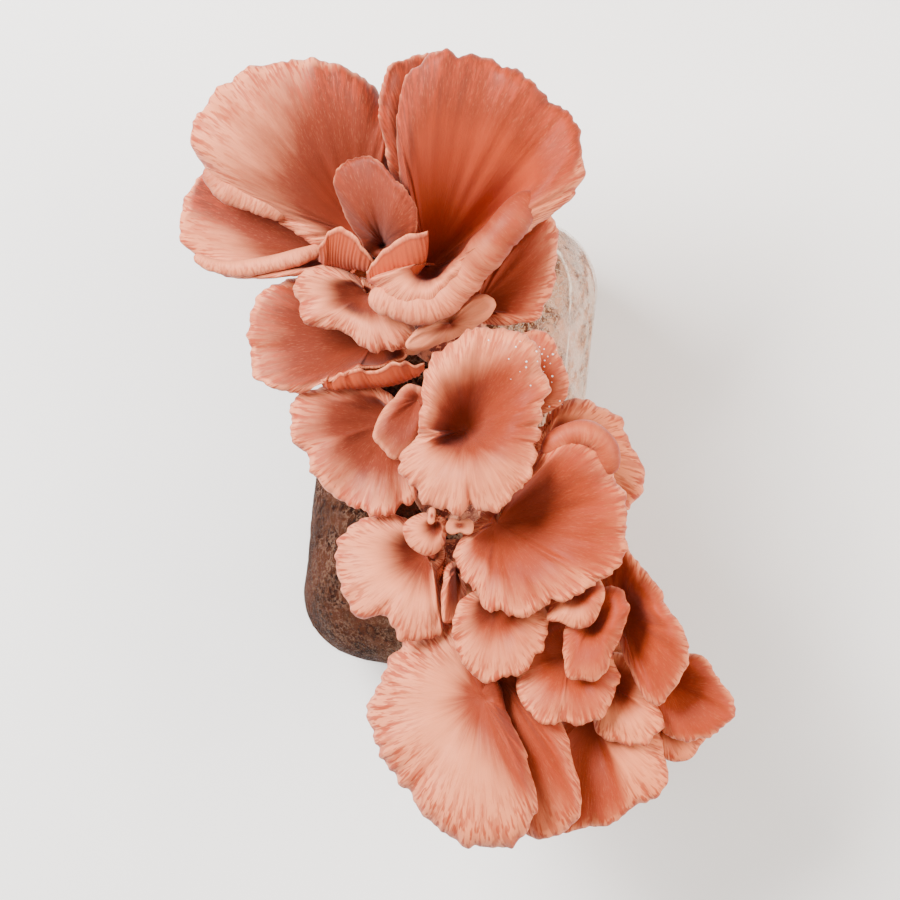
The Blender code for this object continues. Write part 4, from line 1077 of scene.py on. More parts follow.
def attribute(tree, place, name, output="Fac"):
    """A value that a mesh carries, as a material reads it."""
    return named_node(tree, "ShaderNodeAttribute", place, attribute_name=name).outputs[output]


def put(tree, socket, value):
    """Wires an output to a socket, or sets the socket where the value is plain."""
    if isinstance(value, bpy.types.NodeSocket):
        tree.links.new(value, socket)
    else:
        socket.default_value = value


def mixed(tree, place, share, first, second, blend="MIX"):
    """Two colours mixed by a share."""
    inputs = {0: share, 6: first, 7: second}
    return named_node(tree, "ShaderNodeMix", place, inputs, data_type="RGBA", blend_type=blend).outputs[2]


def computed(tree, place, operation, *values, clamp=False):
    """A sum, a product or the like of two or three values."""
    inputs = dict(enumerate(values))
    return named_node(tree, "ShaderNodeMath", place, inputs, operation=operation, use_clamp=clamp).outputs[0]


def product(tree, place, first, second):
    """Two values multiplied."""
    return computed(tree, place, "MULTIPLY", first, second)


def ranged(tree, place, value, low, high, start=0.0, end=1.0):
    """A value brought smoothly from start at low to end at high."""
    inputs = {"Value": value, "From Min": low, "From Max": high, "To Min": start, "To Max": end}
    node = named_node(tree, "ShaderNodeMapRange", place, inputs, interpolation_type="SMOOTHSTEP")
    return node.outputs["Result"]


def noise(tree, place, vector, scale, detail, roughness):
    """A noise from 0 to 1."""
    inputs = {"Vector": vector, "Scale": scale, "Detail": detail, "Roughness": roughness}
    return named_node(tree, "ShaderNodeTexNoise", place, inputs).outputs[0]


def bumped(tree, place, height, distance, strength, normal=None):
    """A normal bent by a height, on top of another where one is given."""
    inputs = {"Height": height, "Distance": distance, "Strength": strength}
    if normal is not None:
        inputs["Normal"] = normal
    return named_node(tree, "ShaderNodeBump", place, inputs).outputs["Normal"]


def object_place(tree, place):
    """Where a point is, in metres from the frame's origin."""
    return named_node(tree, "ShaderNodeTexCoord", place).outputs["Object"]


def new_tree(name, kind, inputs, outputs):
    """An empty node tree with sockets, given by name, kind and, where there is one, default."""
    tree = bpy.data.node_groups.new(name, kind)
    for label, socket_kind, *default in inputs:
        socket = tree.interface.new_socket(label, in_out="INPUT", socket_type=f"NodeSocket{socket_kind}")
        if default:
            socket.default_value = default[0]
    for label, socket_kind in outputs:
        tree.interface.new_socket(label, in_out="OUTPUT", socket_type=f"NodeSocket{socket_kind}")
    given = named_node(tree, "NodeGroupInput", (0, 0))
    made = named_node(tree, "NodeGroupOutput", (8, 0))
    return tree, given.outputs, made.inputs


def placed(tree, place, group, **values):
    """A group placed in a material, its inputs set or wired by name."""
    inputs = {key.replace("_", " "): value for key, value in values.items()}
    return named_node(tree, "ShaderNodeGroup", place, inputs, node_tree=group).outputs


def fibres_group():
    """Long thin streaks that run with the third axis of the vector given, in millimetres."""
    inputs = (
        ("Vector", "Vector"), ("Width", "Float", 1.5), ("Length", "Float", 12.0), ("Seed", "Float", 0.0),
    )
    outputs = (("Streaks", "Float"), ("Fine", "Float"))
    tree, given, made = new_tree("Fibres", "ShaderNodeTree", inputs, outputs)
    across = computed(tree, (1, 0), "DIVIDE", 1.0, given["Width"])
    along = computed(tree, (1, 1), "DIVIDE", 1.0, given["Length"])
    stretch = {"X": across, "Y": across, "Z": along}
    scaled = {0: given["Vector"], 1: named_node(tree, "ShaderNodeCombineXYZ", (2, 0), stretch).outputs[0]}
    scaled = named_node(tree, "ShaderNodeVectorMath", (3, 0), scaled, operation="MULTIPLY").outputs[0]
    moved = {0: scaled, 1: given["Seed"]}
    moved = named_node(tree, "ShaderNodeVectorMath", (4, 0), moved, operation="ADD").outputs[0]
    put(tree, made["Streaks"], noise(tree, (5, 0), moved, 1.0, 2.0, 0.5))
    put(tree, made["Fine"], noise(tree, (5, 1), moved, 2.6, 2.0, 0.6))
    return tree


def mottle_group():
    """Soft blotches of one colour in another, with small specks over both."""
    inputs = (
        ("Vector", "Vector"), ("Blotch", "Float", 0.006), ("Speck", "Float", 0.0012),
        ("Ground", "Color", (0.5, 0.5, 0.5, 1)), ("Blotches", "Color", (0.3, 0.3, 0.3, 1)),
        ("Specks", "Color", (0.8, 0.8, 0.8, 1)), ("Cover", "Float", 0.5),
    )
    outputs = (("Color", "Color"), ("Height", "Float"), ("Mask", "Float"))
    tree, given, made = new_tree("Mottle", "ShaderNodeTree", inputs, outputs)
    coarse = computed(tree, (1, 0), "DIVIDE", 1.0, given["Blotch"])
    small = computed(tree, (1, 1), "DIVIDE", 1.0, given["Speck"])
    patches = noise(tree, (2, 0), given["Vector"], coarse, 4.0, 0.6)
    grains = noise(tree, (2, 1), given["Vector"], small, 2.0, 0.6)
    low = computed(tree, (3, 2), "SUBTRACT", 1.0, given["Cover"])
    mask = ranged(tree, (3, 0), patches, 0.42, 0.58)
    speckled = ranged(tree, (4, 1), grains, low, computed(tree, (4, 3), "ADD", low, 0.12))
    ground = mixed(tree, (5, 0), mask, given["Ground"], given["Blotches"])
    put(tree, made["Color"], mixed(tree, (6, 0), speckled, ground, given["Specks"]))
    put(tree, made["Height"], computed(tree, (6, 2), "MULTIPLY_ADD", grains, 0.5, patches))
    put(tree, made["Mask"], speckled)
    return tree


def shade_to_light_group():
    """From a colour in painted shade at the left of the bag to a lit one at its right, by X in metres."""
    # The first colour is the one in painted shade at the left, the second the lit one at the right.
    inputs = (
        ("Vector", "Vector"), ("Damp Until", "Float", -0.025), ("Dry From", "Float", 0.035),
        ("Least", "Float", 0.0), ("Damp", "Color", LEFT_SHADE), ("Dry", "Color", (0.5, 0.5, 0.5, 1)),
    )
    tree, given, made = new_tree("Dryness", "ShaderNodeTree", inputs, (("Color", "Color"), ("Mask", "Float")))
    across = named_node(tree, "ShaderNodeSeparateXYZ", (1, 0), {"Vector": given["Vector"]}).outputs["X"]
    mask = ranged(tree, (2, 0), across, given["Damp Until"], given["Dry From"], given["Least"])
    put(tree, made["Color"], mixed(tree, (3, 0), mask, given["Damp"], given["Dry"]))
    put(tree, made["Mask"], mask)
    return tree


def new_material(name, **values):
    """A material with a Principled shader, its plain values set by socket name."""
    made = bpy.data.materials.new(name)
    made.use_nodes = True
    shader = made.node_tree.nodes["Principled BSDF"]
    shader.location = (12 * NODE_STEP, 0)
    made.node_tree.nodes["Material Output"].location = (14 * NODE_STEP, 0)
    for key, value in values.items():
        shader.inputs[key.replace("_", " ")].default_value = value
    return made, made.node_tree, shader.inputs


def flesh_material(look, fibres):
    """Velvety flesh: pale where the caps turn over, streaked at the margin, orange and darker down the
    throats, partly as painted shade.
    """
    made, tree, shader = new_material(
        "oyster_flesh", Subsurface_Weight=0.2, Subsurface_Scale=0.003, Sheen_Weight=0.06, Sheen_Roughness=0.5,
        Specular_IOR_Level=0.2,
    )
    shader["Subsurface Radius"].default_value = (1.0, 0.4, 0.25)
    out = attribute(tree, (0, 0), "out")
    deep = attribute(tree, (0, 1), "deep")
    warmth = attribute(tree, (0, 2), "warmth")
    grain = attribute(tree, (0, 3), "grain", "Vector")
    streak = placed(tree, (1, 3), fibres, Vector=grain, Width=1.0, Length=6.0)
    fibre = placed(tree, (1, 6), fibres, Vector=grain, Width=1.7, Length=18.0, Seed=4.0)
    broad = placed(tree, (1, 4), fibres, Vector=grain, Width=8.0, Length=16.0, Seed=7.0)
    bold = placed(tree, (1, 8), fibres, Vector=grain, Width=1.9, Length=10.0, Seed=11.0)
    cloud = noise(tree, (1, 5), object_place(tree, (0, 5)), 90.0, 3.0, 0.5)
    flesh = mixed(tree, (2, 0), warmth, look.flesh, look.flesh_right)
    rim = mixed(tree, (2, 1), warmth, look.rim, look.rim_right)
    throat = mixed(tree, (2, 2), warmth, look.throat, look.throat_right)
    # Flesh at first, then pale out over the margin, and darker down the throat, partly its own colour and
    # partly painted shade.
    spread = computed(tree, (3, 4), "MULTIPLY_ADD", broad["Streaks"], 0.5, -0.25)
    fibrous = computed(tree, (3, 7), "MULTIPLY_ADD", fibre["Streaks"], 0.24, -0.12)
    drift = computed(tree, (4, 4), "ADD", spread, fibrous)
    bloom = computed(tree, (4, 5), "ADD", attribute(tree, (3, 5), "pale"), drift)
    pale = ranged(tree, (5, 0), bloom, 0.05, 0.95)
    depth = computed(tree, (4, 6), "MULTIPLY_ADD", spread, 0.5, deep)
    shaded = ranged(tree, (5, 1), depth, 0.2, 0.85, 1.0, 0.15)
    skin = mixed(tree, (6, 0), product(tree, (6, 1), pale, shaded), flesh, rim)
    inner = computed(tree, (4, 2), "MULTIPLY_ADD", drift, 0.35, deep)
    skin = mixed(tree, (7, 0), ranged(tree, (5, 2), inner, 0.3, 1.05, 0.0, 0.85), skin, throat)
    # Coral streaks, thickest at the margin, and pale ones between them.
    edge = ranged(tree, (5, 3), out, 0.7, 1.1)
    inland = ranged(tree, (5, 6), out, 0.2, 0.9, 0.0, 0.15)
    lined = product(tree, (6, 5), attribute(tree, (5, 10), "lined"), look.streaks)
    coral = product(tree, (6, 3), ranged(tree, (5, 4), streak["Streaks"], 0.5, 0.6), edge)
    coral = product(tree, (7, 3), coral, lined)
    skin = mixed(tree, (8, 0), coral, skin, look.coral)
    long = product(tree, (6, 6), ranged(tree, (5, 8), fibre["Fine"], 0.5, 0.66), inland)
    skin = mixed(tree, (9, 0), product(tree, (7, 6), long, look.streaks), skin, flesh)
    fine = product(tree, (6, 4), ranged(tree, (5, 5), streak["Fine"], 0.54, 0.7), 0.15)
    skin = mixed(tree, (9, 2), product(tree, (7, 4), fine, shaded), skin, rim)
    bold = product(tree, (7, 8), ranged(tree, (6, 8), bold["Streaks"], 0.5, 0.62), edge)
    bold = product(tree, (8, 8), bold, product(tree, (7, 9), lined, 0.7))
    skin = mixed(tree, (9, 8), bold, skin, look.coral)
    # Where the margin turns down it goes towards coral: partly its own rim line, partly painted shade.
    turned = ranged(tree, (8, 6), out, 1.5, 2.0, 0.0, 0.35)
    skin = mixed(tree, (9, 6), turned, skin, look.coral)
    # The under side, its gills and the stem.
    below = ranged(tree, (5, 9), out, 2.0, 2.3)
    gills = mixed(tree, (6, 6), warmth, look.gills, look.flesh_right)
    skin = mixed(tree, (10, 0), below, skin, gills)
    foot = ranged(tree, (5, 7), out, 3.6, 4.6)
    skin = mixed(tree, (11, 0), foot, skin, look.stem)
    skin = mixed(tree, (11, 2), product(tree, (7, 5), cloud, 0.22), skin, flesh)
    put(tree, shader["Base Color"], skin)
    put(tree, shader["Roughness"], ranged(tree, (8, 4), cloud, 0.3, 0.7, 0.52, 0.68))
    lines = computed(tree, (8, 5), "MULTIPLY_ADD", streak["Fine"], 0.6, streak["Streaks"])
    velvet = noise(tree, (8, 6), object_place(tree, (7, 6)), 1900.0, 2.0, 0.6)
    normal = bumped(tree, (9, 5), lines, 0.00025, 0.4)
    put(tree, shader["Normal"], bumped(tree, (10, 5), velvet, 0.00012, 0.5, normal))
    return made


def stem_material(look, mottle):
    """Fused stem bases: whitish, tinged with pink, downy."""
    made, tree, shader = new_material(
        "knot_tissue", Subsurface_Weight=0.25, Subsurface_Scale=0.004, Sheen_Weight=0.2
    )
    shader["Subsurface Radius"].default_value = (1.0, 0.5, 0.35)
    spots = placed(
        tree, (2, 0), mottle, Vector=object_place(tree, (0, 0)), Blotch=0.007, Speck=0.0011,
        Ground=look.stem, Blotches=look.flesh, Specks=look.rim, Cover=0.45,
    )
    put(tree, shader["Base Color"], spots["Color"])
    put(tree, shader["Roughness"], ranged(tree, (5, 1), spots["Mask"], 0.0, 1.0, 0.7, 0.55))
    put(tree, shader["Normal"], bumped(tree, (6, 2), spots["Height"], 0.0006, 0.6))
    return made


def sawdust_material(look, mottle, dryness):
    """The block: sawdust bound by a web of white threads, darkened to brown at the left as painted shade."""
    made, tree, shader = new_material("grown_sawdust", Specular_IOR_Level=0.05)
    here = object_place(tree, (0, 0))
    grit = placed(
        tree, (2, 0), mottle, Vector=here, Blotch=0.011, Speck=0.0016,
        Ground=look.sawdust, Blotches=look.damp, Specks=look.chips, Cover=0.52,
    )
    web = noise(tree, (2, 2), here, 230.0, 5.0, 0.62)
    strand = computed(tree, (3, 2), "ABSOLUTE", computed(tree, (3, 3), "SUBTRACT", web, 0.5))
    thread = ranged(tree, (4, 2), strand, 0.0, 0.045, 1.0, 0.0)
    grown = ranged(tree, (4, 3), noise(tree, (2, 4), here, 42.0, 3.0, 0.5), 0.38, 0.66)
    grown = computed(tree, (5, 3), "MULTIPLY_ADD", grown, 0.6, 0.15)
    cover = product(tree, (5, 2), thread, grown)
    # At the left the block's colour and its threads are darkened, as painted shade.
    in_shade = mixed(tree, (4, 6), 1.0, grit["Color"], LEFT_SHADE, "MULTIPLY")
    ground = placed(tree, (5, 6), dryness, Vector=here, Least=0.02, Damp=in_shade, Dry=grit["Color"])
    threads = placed(
        tree, (5, 8), dryness, Vector=here, Least=0.02, Damp=SHADED_THREADS, Dry=look.threads
    )
    skin = mixed(tree, (6, 0), cover, ground["Color"], threads["Color"])
    felt = ranged(tree, (5, 4), noise(tree, (2, 5), here, 75.0, 5.0, 0.6), 0.56, 0.68)
    felt = product(tree, (6, 3), felt, product(tree, (6, 4), ground["Mask"], 0.2))
    put(tree, shader["Base Color"], mixed(tree, (7, 0), felt, skin, look.threads))
    put(tree, shader["Roughness"], ranged(tree, (7, 1), grit["Mask"], 0.0, 1.0, 0.75, 0.95))
    relief = computed(tree, (7, 3), "MULTIPLY_ADD", cover, 0.5, grit["Height"])
    put(tree, shader["Normal"], bumped(tree, (8, 3), relief, 0.0012, 0.9))
    return made


def chip_material(look, mottle, dryness):
    """Single chips of sawdust, from straw to dark brown, darker at the left as painted shade."""
    made, tree, shader = new_material("sawdust_chips", Specular_IOR_Level=0.15)
    here = object_place(tree, (0, 0))
    grain = placed(
        tree, (2, 0), mottle, Vector=here, Blotch=0.0035, Speck=0.0006,
        Ground=look.chips, Blotches=look.damp, Specks=look.threads, Cover=0.3,
    )
    # At the left the chips are darkened, as painted shade.
    in_shade = mixed(tree, (4, 1), 1.0, grain["Color"], LEFT_SHADE, "MULTIPLY")
    skin = placed(tree, (5, 0), dryness, Vector=here, Damp=in_shade, Dry=grain["Color"])
    put(tree, shader["Base Color"], skin["Color"])
    put(tree, shader["Roughness"], ranged(tree, (5, 1), grain["Mask"], 0.0, 1.0, 0.8, 0.92))
    put(tree, shader["Normal"], bumped(tree, (6, 2), grain["Height"], 0.0003, 0.7))
    return made


def film_material(look, dryness):
    """Thin clear film: glossy, its tint darker at the left as painted shade, milky where it is creased or
    seen along its surface, and on its right partly as painted highlight.
    """
    made, tree, shader = new_material("creased_film", IOR=1.8, Specular_IOR_Level=1.0)
    here = object_place(tree, (0, 1))
    smear = noise(tree, (1, 1), here, 60.0, 4.0, 0.6)
    # Its tint is darker at the left, as painted shade.
    tint = placed(
        tree, (1, 2), dryness, Vector=here, Damp_Until=-0.02, Dry_From=0.03, Least=0.05,
        Damp=SHADED_THREADS, Dry=look.film,
    )
    lit_share = tint["Mask"]
    # Milky along its creases on the lit side, partly a painted highlight, and at the far right in patches of
    # painted glare.
    creased = ranged(tree, (2, 0), attribute(tree, (0, 0), "crease"), 0.45, 0.95)
    creased = product(tree, (3, 0), lit_share, creased)
    patches = ranged(tree, (2, 7), noise(tree, (1, 5), here, 120.0, 4.0, 0.6), 0.4, 0.55)
    far_right = placed(tree, (1, 6), dryness, Vector=here, Damp_Until=0.03, Dry_From=0.046)["Mask"]
    patches = product(tree, (2, 6), far_right, patches)
    milky = computed(tree, (3, 6), "MAXIMUM", creased, product(tree, (3, 7), patches, 0.6))
    # How much the film hides: where it is milky, smeared or seen along its surface; the smear shows less at
    # the left, in the painted shade.
    edge = named_node(tree, "ShaderNodeLayerWeight", (1, 3), {"Blend": 0.35}).outputs["Facing"]
    grazing = product(tree, (3, 3), edge, product(tree, (2, 5), lit_share, 0.12))
    smeared = computed(tree, (2, 1), "MULTIPLY_ADD", smear, 0.03, look.haze)
    smear_share = computed(tree, (2, 3), "MULTIPLY_ADD", lit_share, 0.8, 0.2)
    smeared = product(tree, (3, 1), smeared, smear_share)
    cover = computed(tree, (4, 1), "MULTIPLY_ADD", milky, 0.45, smeared)
    put(tree, shader["Alpha"], computed(tree, (5, 1), "ADD", cover, grazing, clamp=True))
    put(tree, shader["Base Color"], mixed(tree, (5, 0), milky, tint["Color"], MILKY))
    put(tree, shader["Roughness"], ranged(tree, (5, 2), smear, 0.35, 0.7, 0.12, 0.3))
    ripple = noise(tree, (2, 4), here, 170.0, 3.0, 0.5)
    put(tree, shader["Normal"], bumped(tree, (6, 3), ripple, 0.0012, 0.5))
    return made


def dew_material():
    """Small drops of clear water."""
    made, tree, shader = new_material("dew", IOR=1.33, Specular_IOR_Level=1.0)
    wobble = noise(tree, (1, 0), object_place(tree, (0, 0)), 900.0, 2.0, 0.5)
    put(tree, shader["Base Color"], mixed(tree, (3, 0), wobble, (0.95, 0.85, 0.8, 1), (1, 1, 1, 1)))
    put(tree, shader["Alpha"], ranged(tree, (3, 1), wobble, 0.3, 0.7, 0.55, 0.8))
    put(tree, shader["Roughness"], ranged(tree, (3, 2), wobble, 0.3, 0.7, 0.04, 0.1))
    return made


def floor_material(tint, mottle):
    """A plain matt sheet, barely uneven."""
    made, tree, shader = new_material("studio_floor", Specular_IOR_Level=0.2)
    shade = tuple(0.985 * c for c in tint[:3]) + (1.0,)
    paper = placed(
        tree, (2, 0), mottle, Vector=object_place(tree, (0, 0)), Blotch=0.15, Speck=0.002,
        Ground=tint, Blotches=shade, Specks=shade, Cover=0.4,
    )
    put(tree, shader["Base Color"], paper["Color"])
    put(tree, shader["Roughness"], ranged(tree, (5, 1), paper["Mask"], 0.0, 1.0, 0.85, 0.9))
    return made


def plane_waves(rng, turn, y, rounds, lengthwise, terms=7):
    """A smooth random field over the bag, by turn round it (0 to 1) and by y in millimetres."""
    total = 0
    for _ in range(terms):
        number = max(1, round(rounds * rng.uniform(0.4, 1.6)))
        tilt = rng.uniform(-1, 1) * math.tau / lengthwise
        total = total + np.sin(math.tau * number * turn + tilt * y + math.tau * rng.random())
    return total / math.sqrt(terms)


def bag_grid(radius, turns, levels):
    """Rings round the bag from its closed lower end to its folded top, as (turn, y, size) grids."""
    inset = BAG_RADIUS - radius
    low, high = BAG_BOTTOM_Y + inset, BAG_TOP_Y - inset
    ends = END_ROUNDING * (1 - np.cos(np.radians(np.linspace(4, 90, levels // 5))))
    middle = np.linspace(low + END_ROUNDING, high - END_ROUNDING, levels - 2 * len(ends) + 2)[1:-1]
    y = np.concatenate([low + ends, middle, high - ends[::-1]])
    turn = np.arange(turns) / turns
    return np.meshgrid(turn, y)[0], np.meshgrid(turn, y)[1], bag_radius(y, radius)[:, None] * np.ones(turns)


def bag_points(turn, y, size, floor):
    """Places on the bag, flattened where it lies."""
    angle = math.tau * turn
    return np.stack([size * np.sin(angle), y, np.maximum(AXIS_HEIGHT + size * np.cos(angle), floor)], axis=-1)


def make_block(look):
    """The block of grown-through sawdust, uneven all over, and the chips that stand in its skin."""
    rng = np.random.default_rng(11)
    turn, y, size = bag_grid(BLOCK_RADIUS, 240, 150)
    lumps = 0.5 + 0.5 * np.clip(plane_waves(rng, turn, y, 9, 30), -1, 1)
    grit = 0.5 + 0.5 * np.clip(plane_waves(rng, turn, y, 40, 7, 12), -1, 1)
    fade = np.clip(size / RELIEF_RADIUS, 0, 1)
    sunk = look.relief / MM * (0.65 * lumps + 0.35 * grit) * fade
    size = size - sunk + 0.75 * fade
    rings = bag_points(turn, y, size, BAG_RADIUS - BLOCK_RADIUS + 0.4 * sunk)
    ends = ((0, y[0, 0], AXIS_HEIGHT), (0, y[-1, 0], AXIS_HEIGHT))
    mesh = closed_mesh("block_skin", rings[:, ::-1], *ends)
    block = linked("block_skin", mesh)
    mesh.materials.append(bpy.data.materials["grown_sawdust"])
    settled(block, "sawdust", "sawdust_block")
    set_vertex_values(mesh, "sow", np.ones(len(mesh.vertices)))
    strew(
        linked("block_chips", mesh.copy()), chip_mesh(), "sawdust", "sawdust_chips",
        Density=look.chip_count / BLOCK_AREA, Smallest=0.6, Largest=1.5, Sink=0.0002, Seed=5,
    )


def chip_mesh():
    """One splinter of wood, 2 mm long, with its corners off."""
    bm = bmesh.new()
    outline = ((-1.1, -0.25), (-0.5, -0.5), (0.7, -0.45), (1.2, -0.1), (0.6, 0.4), (-0.7, 0.5))
    top = [bm.verts.new((x * MM, y * MM, (0.18 + 0.05 * x) * MM)) for x, y in outline]
    low = [bm.verts.new((0.9 * x * MM, 0.9 * y * MM, -0.3 * MM)) for x, y in outline]
    bm.faces.new(top)
    bm.faces.new(low[::-1])
    for k in range(6):
        n = (k + 1) % 6
        bm.faces.new((low[k], low[n], top[n], top[k]))
    return linked("chip", from_bmesh("chip", bm))


def make_film(look):
    """The bag: a clear film drawn tight round the block, creased, pleated at its ends and slit open."""
    rng = np.random.default_rng(23)
    turn, y, size = bag_grid(BAG_RADIUS, 270, 180)
    first = plane_waves(rng, turn, y, 4, 90)
    second = plane_waves(rng, turn, y, 9, 35, 9)
    patch = np.clip(0.5 + 0.7 * plane_waves(rng, turn, y, 3, 60), 0, 1)
    long_crease = ridge_along(first, turn, y, size, 1.3)
    short_crease = ridge_along(second, turn, y, size, 0.8) * patch
    slack = np.clip(0.5 + 0.5 * plane_waves(rng, turn, y, 5, 45), 0, 1)
    from_bottom, from_top = y - BAG_BOTTOM_Y, BAG_TOP_Y - y
    swirl = np.clip(1 - from_bottom / 30, 0, 1)
    pleat = np.abs(np.sin(math.tau * (9 * turn + 0.012 * from_bottom) + 0.6 * second)) ** 3 * swirl
    fold = np.clip(1 - from_top / 34, 0, 1)
    gusset = (1 - np.abs(np.sin(math.tau * 5 * turn + 0.05 * from_top + 0.8 * first))) ** 2 * fold
    slit = slit_share(turn, y)
    lip = np.exp(-np.maximum(slit, 0) / 3.5)
    crease = np.clip(long_crease + 0.6 * short_crease + 0.8 * pleat + 0.9 * gusset, 0, 1)
    rise = long_crease + 0.4 * short_crease + 0.15 * slack + pleat + 1.3 * gusset + 0.5 * lip
    lying = np.clip((AXIS_HEIGHT + size * np.cos(math.tau * turn)) / 8, 0, 1)
    lying = lying * np.interp(size * np.sin(math.tau * turn), (-30, 30), (0.35, 0.3))
    rise = look.crease / MM * rise * lying * np.clip(size / 22, 0.1, 1)
    rings = bag_points(turn, y, size + rise - 0.1, 0.0)
    mesh = closed_mesh("film", rings[:, ::-1], (0, y[0, 0], AXIS_HEIGHT), (0, y[-1, 0], AXIS_HEIGHT))
    both_ends = (0.6, 0.6)
    set_vertex_values(mesh, "crease", np.append(np.maximum(crease, 0.5 * lip)[:, ::-1], both_ends))
    bm = bmesh.new()
    bm.from_mesh(mesh)
    inside = np.append((slit[:, ::-1] < 0).ravel(), (False, False))
    opened = [f for f in bm.faces if all(inside[v.index] for v in f.verts)]
    bmesh.ops.delete(bm, geom=opened, context="FACES")
    bm.to_mesh(mesh)
    bm.free()
    film = linked("film", mesh)
    mesh.materials.append(bpy.data.materials["creased_film"])
    wall = film.modifiers.new("thickness", "SOLIDIFY")
    wall.thickness = look.film_thickness
    wall.offset = -1
    settled(film, "clear_film", "film_bag")


def ridge_along(field, turn, y, size, width):
    """A ridge of even width, in millimetres, wherever the field passes through 0."""
    lengthwise = np.gradient(field, axis=0) / np.gradient(y, axis=0)
    round_it = np.gradient(field, axis=1) / (math.tau * size * (turn[0, 1] - turn[0, 0]))
    return np.exp(-np.abs(field) / np.maximum(np.hypot(lengthwise, round_it), 0.01) / width)


def slit_share(turn, y):
    """How far a place on the bag is from the slit's edge, in millimetres: below 0 inside the slit."""
    angle = (turn + 0.5) % 1 - 0.5
    wander = 0.006 * np.sin(0.31 * y) + 0.004 * np.sin(0.83 * y + 1)
    torn = np.clip((TEAR_TOP_Y + 4 - y) / 8, 0, 1)
    right = (SLIT_RIGHT + (TEAR_RIGHT - SLIT_RIGHT) * torn) / math.tau + wander
    left = SLIT_LEFT / math.tau + wander
    beside = np.maximum(angle - right, left - angle) * math.tau * BAG_RADIUS
    return np.maximum(beside, np.maximum(SLIT_BOTTOM_Y - y, y - SLIT_TOP_Y))


def make_knots(look):
    """The knots where the stems are fused, lumpy, with young pins on them."""
    for number, base in enumerate(BASES):
        rng = np.random.default_rng(40 + number)
        turn = np.arange(KNOT_SIDES) / KNOT_SIDES

        def ring(share, on_top):
            lumps = waves(rng_at(rng, share), turn, 9) if on_top else 0
            angle = math.tau * turn
            x = base.centre[0] + share * base.half_width * np.cos(angle)
            y = base.centre[1] + share * base.half_length * np.sin(angle)
            rise = base.dome * (1 - share**2) * (1 - 0.06 * (1 + lumps)) if on_top else 0
            return np.stack([x, y, block_height(x, y) + UNDER_KNOT + rise], axis=-1)

        rings = [ring(share, True) for share in np.linspace(0.06, 0.97, 26)]
        rings += [ring(share, False) for share in np.linspace(0.96, 0.06, 8)]
        x, y = base.centre
        low = float(block_height(x, y)) + UNDER_KNOT
        name = f"{base.name}_tissue"
        mesh = closed_mesh(name, np.array(rings), (x, y, low + 0.94 * base.dome), (x, y, low))
        knot = linked(name, mesh)
        mesh.materials.append(bpy.data.materials["knot_tissue"])
        settled(knot, "stem_tissue", base.name)
        top = np.zeros(len(mesh.vertices))
        top[KNOT_SIDES * 3 : KNOT_SIDES * 20] = 1
        set_vertex_values(mesh, "sow", top)
        strew(
            linked(f"{base.name}_pins", mesh.copy()), pin_mesh(), "stem_tissue", "knot_tissue",
            Density=look.pins / KNOT_AREA, Smallest=0.6, Largest=1.3, Sink=0.0003, Seed=8 + number,
        )


def rng_at(rng, share):
    """The same random waves for every ring, drifting slowly from one to the next."""
    return np.random.default_rng(int(rng.bit_generator.seed_seq.entropy) + round(share * 6))


def pin_mesh():
    """One pin: a young mushroom 3 mm tall, its cap still a button."""
    profile = ((0, 0), (0.55, 0), (0.42, 1.0), (0.45, 1.7), (0.75, 2.0), (0.7, 2.5), (0.35, 2.9), (0, 3.0))
    count = 8
    turn = np.arange(count) / count * math.tau
    rings = np.array([
        np.stack([r * np.cos(turn), r * np.sin(turn), np.full(count, h)], axis=-1)
        for r, h in profile[1:-1][::-1]
    ])
    return linked("pin", closed_mesh("pin", rings, (0, 0, 3.0), (0, 0, 0)))


def make_dew(look):
    """Fine drops on the caps at the right of the middle."""
    wetted = []
    for name in ("funnel_centre", "cap_behind_funnel", "fan_far_right"):
        mesh = bpy.data.objects[f"{name}_grown"].data.copy()
        place, facing = np.zeros(3 * len(mesh.vertices)), np.zeros(3 * len(mesh.vertices))
        mesh.vertices.foreach_get("co", place)
        mesh.vertices.foreach_get("normal", facing)
        place, facing = place.reshape(-1, 3) / MM, facing.reshape(-1, 3)
        away = np.hypot(place[:, 0] - DEW_MIDDLE[0], place[:, 1] - DEW_MIDDLE[1])
        set_vertex_values(mesh, "sow", np.exp(-((away / 11) ** 2)) * (facing[:, 2] > 0.35))
        wetted.append(linked(f"{name}_wet", mesh))
    with bpy.context.temp_override(active_object=wetted[0], selected_editable_objects=wetted):
        bpy.ops.object.join()
    wetted[0].name = "dew"
    strew(
        wetted[0], bead_mesh(), "clear_film", "dew",
        Density=look.drops / DEW_AREA, Smallest=0.4, Largest=1.0, Sink=0.00005, Seed=3,
    )


def bead_mesh():
    """One drop, flattened where it sits."""
    bm = bmesh.new()
    bmesh.ops.create_icosphere(bm, subdivisions=2, radius=0.42 * MM)
    bmesh.ops.scale(bm, vec=(1, 1, 0.75), verts=bm.verts)
    mesh = from_bmesh("bead", bm)
    mesh.shade_smooth()
    return linked("bead", mesh)


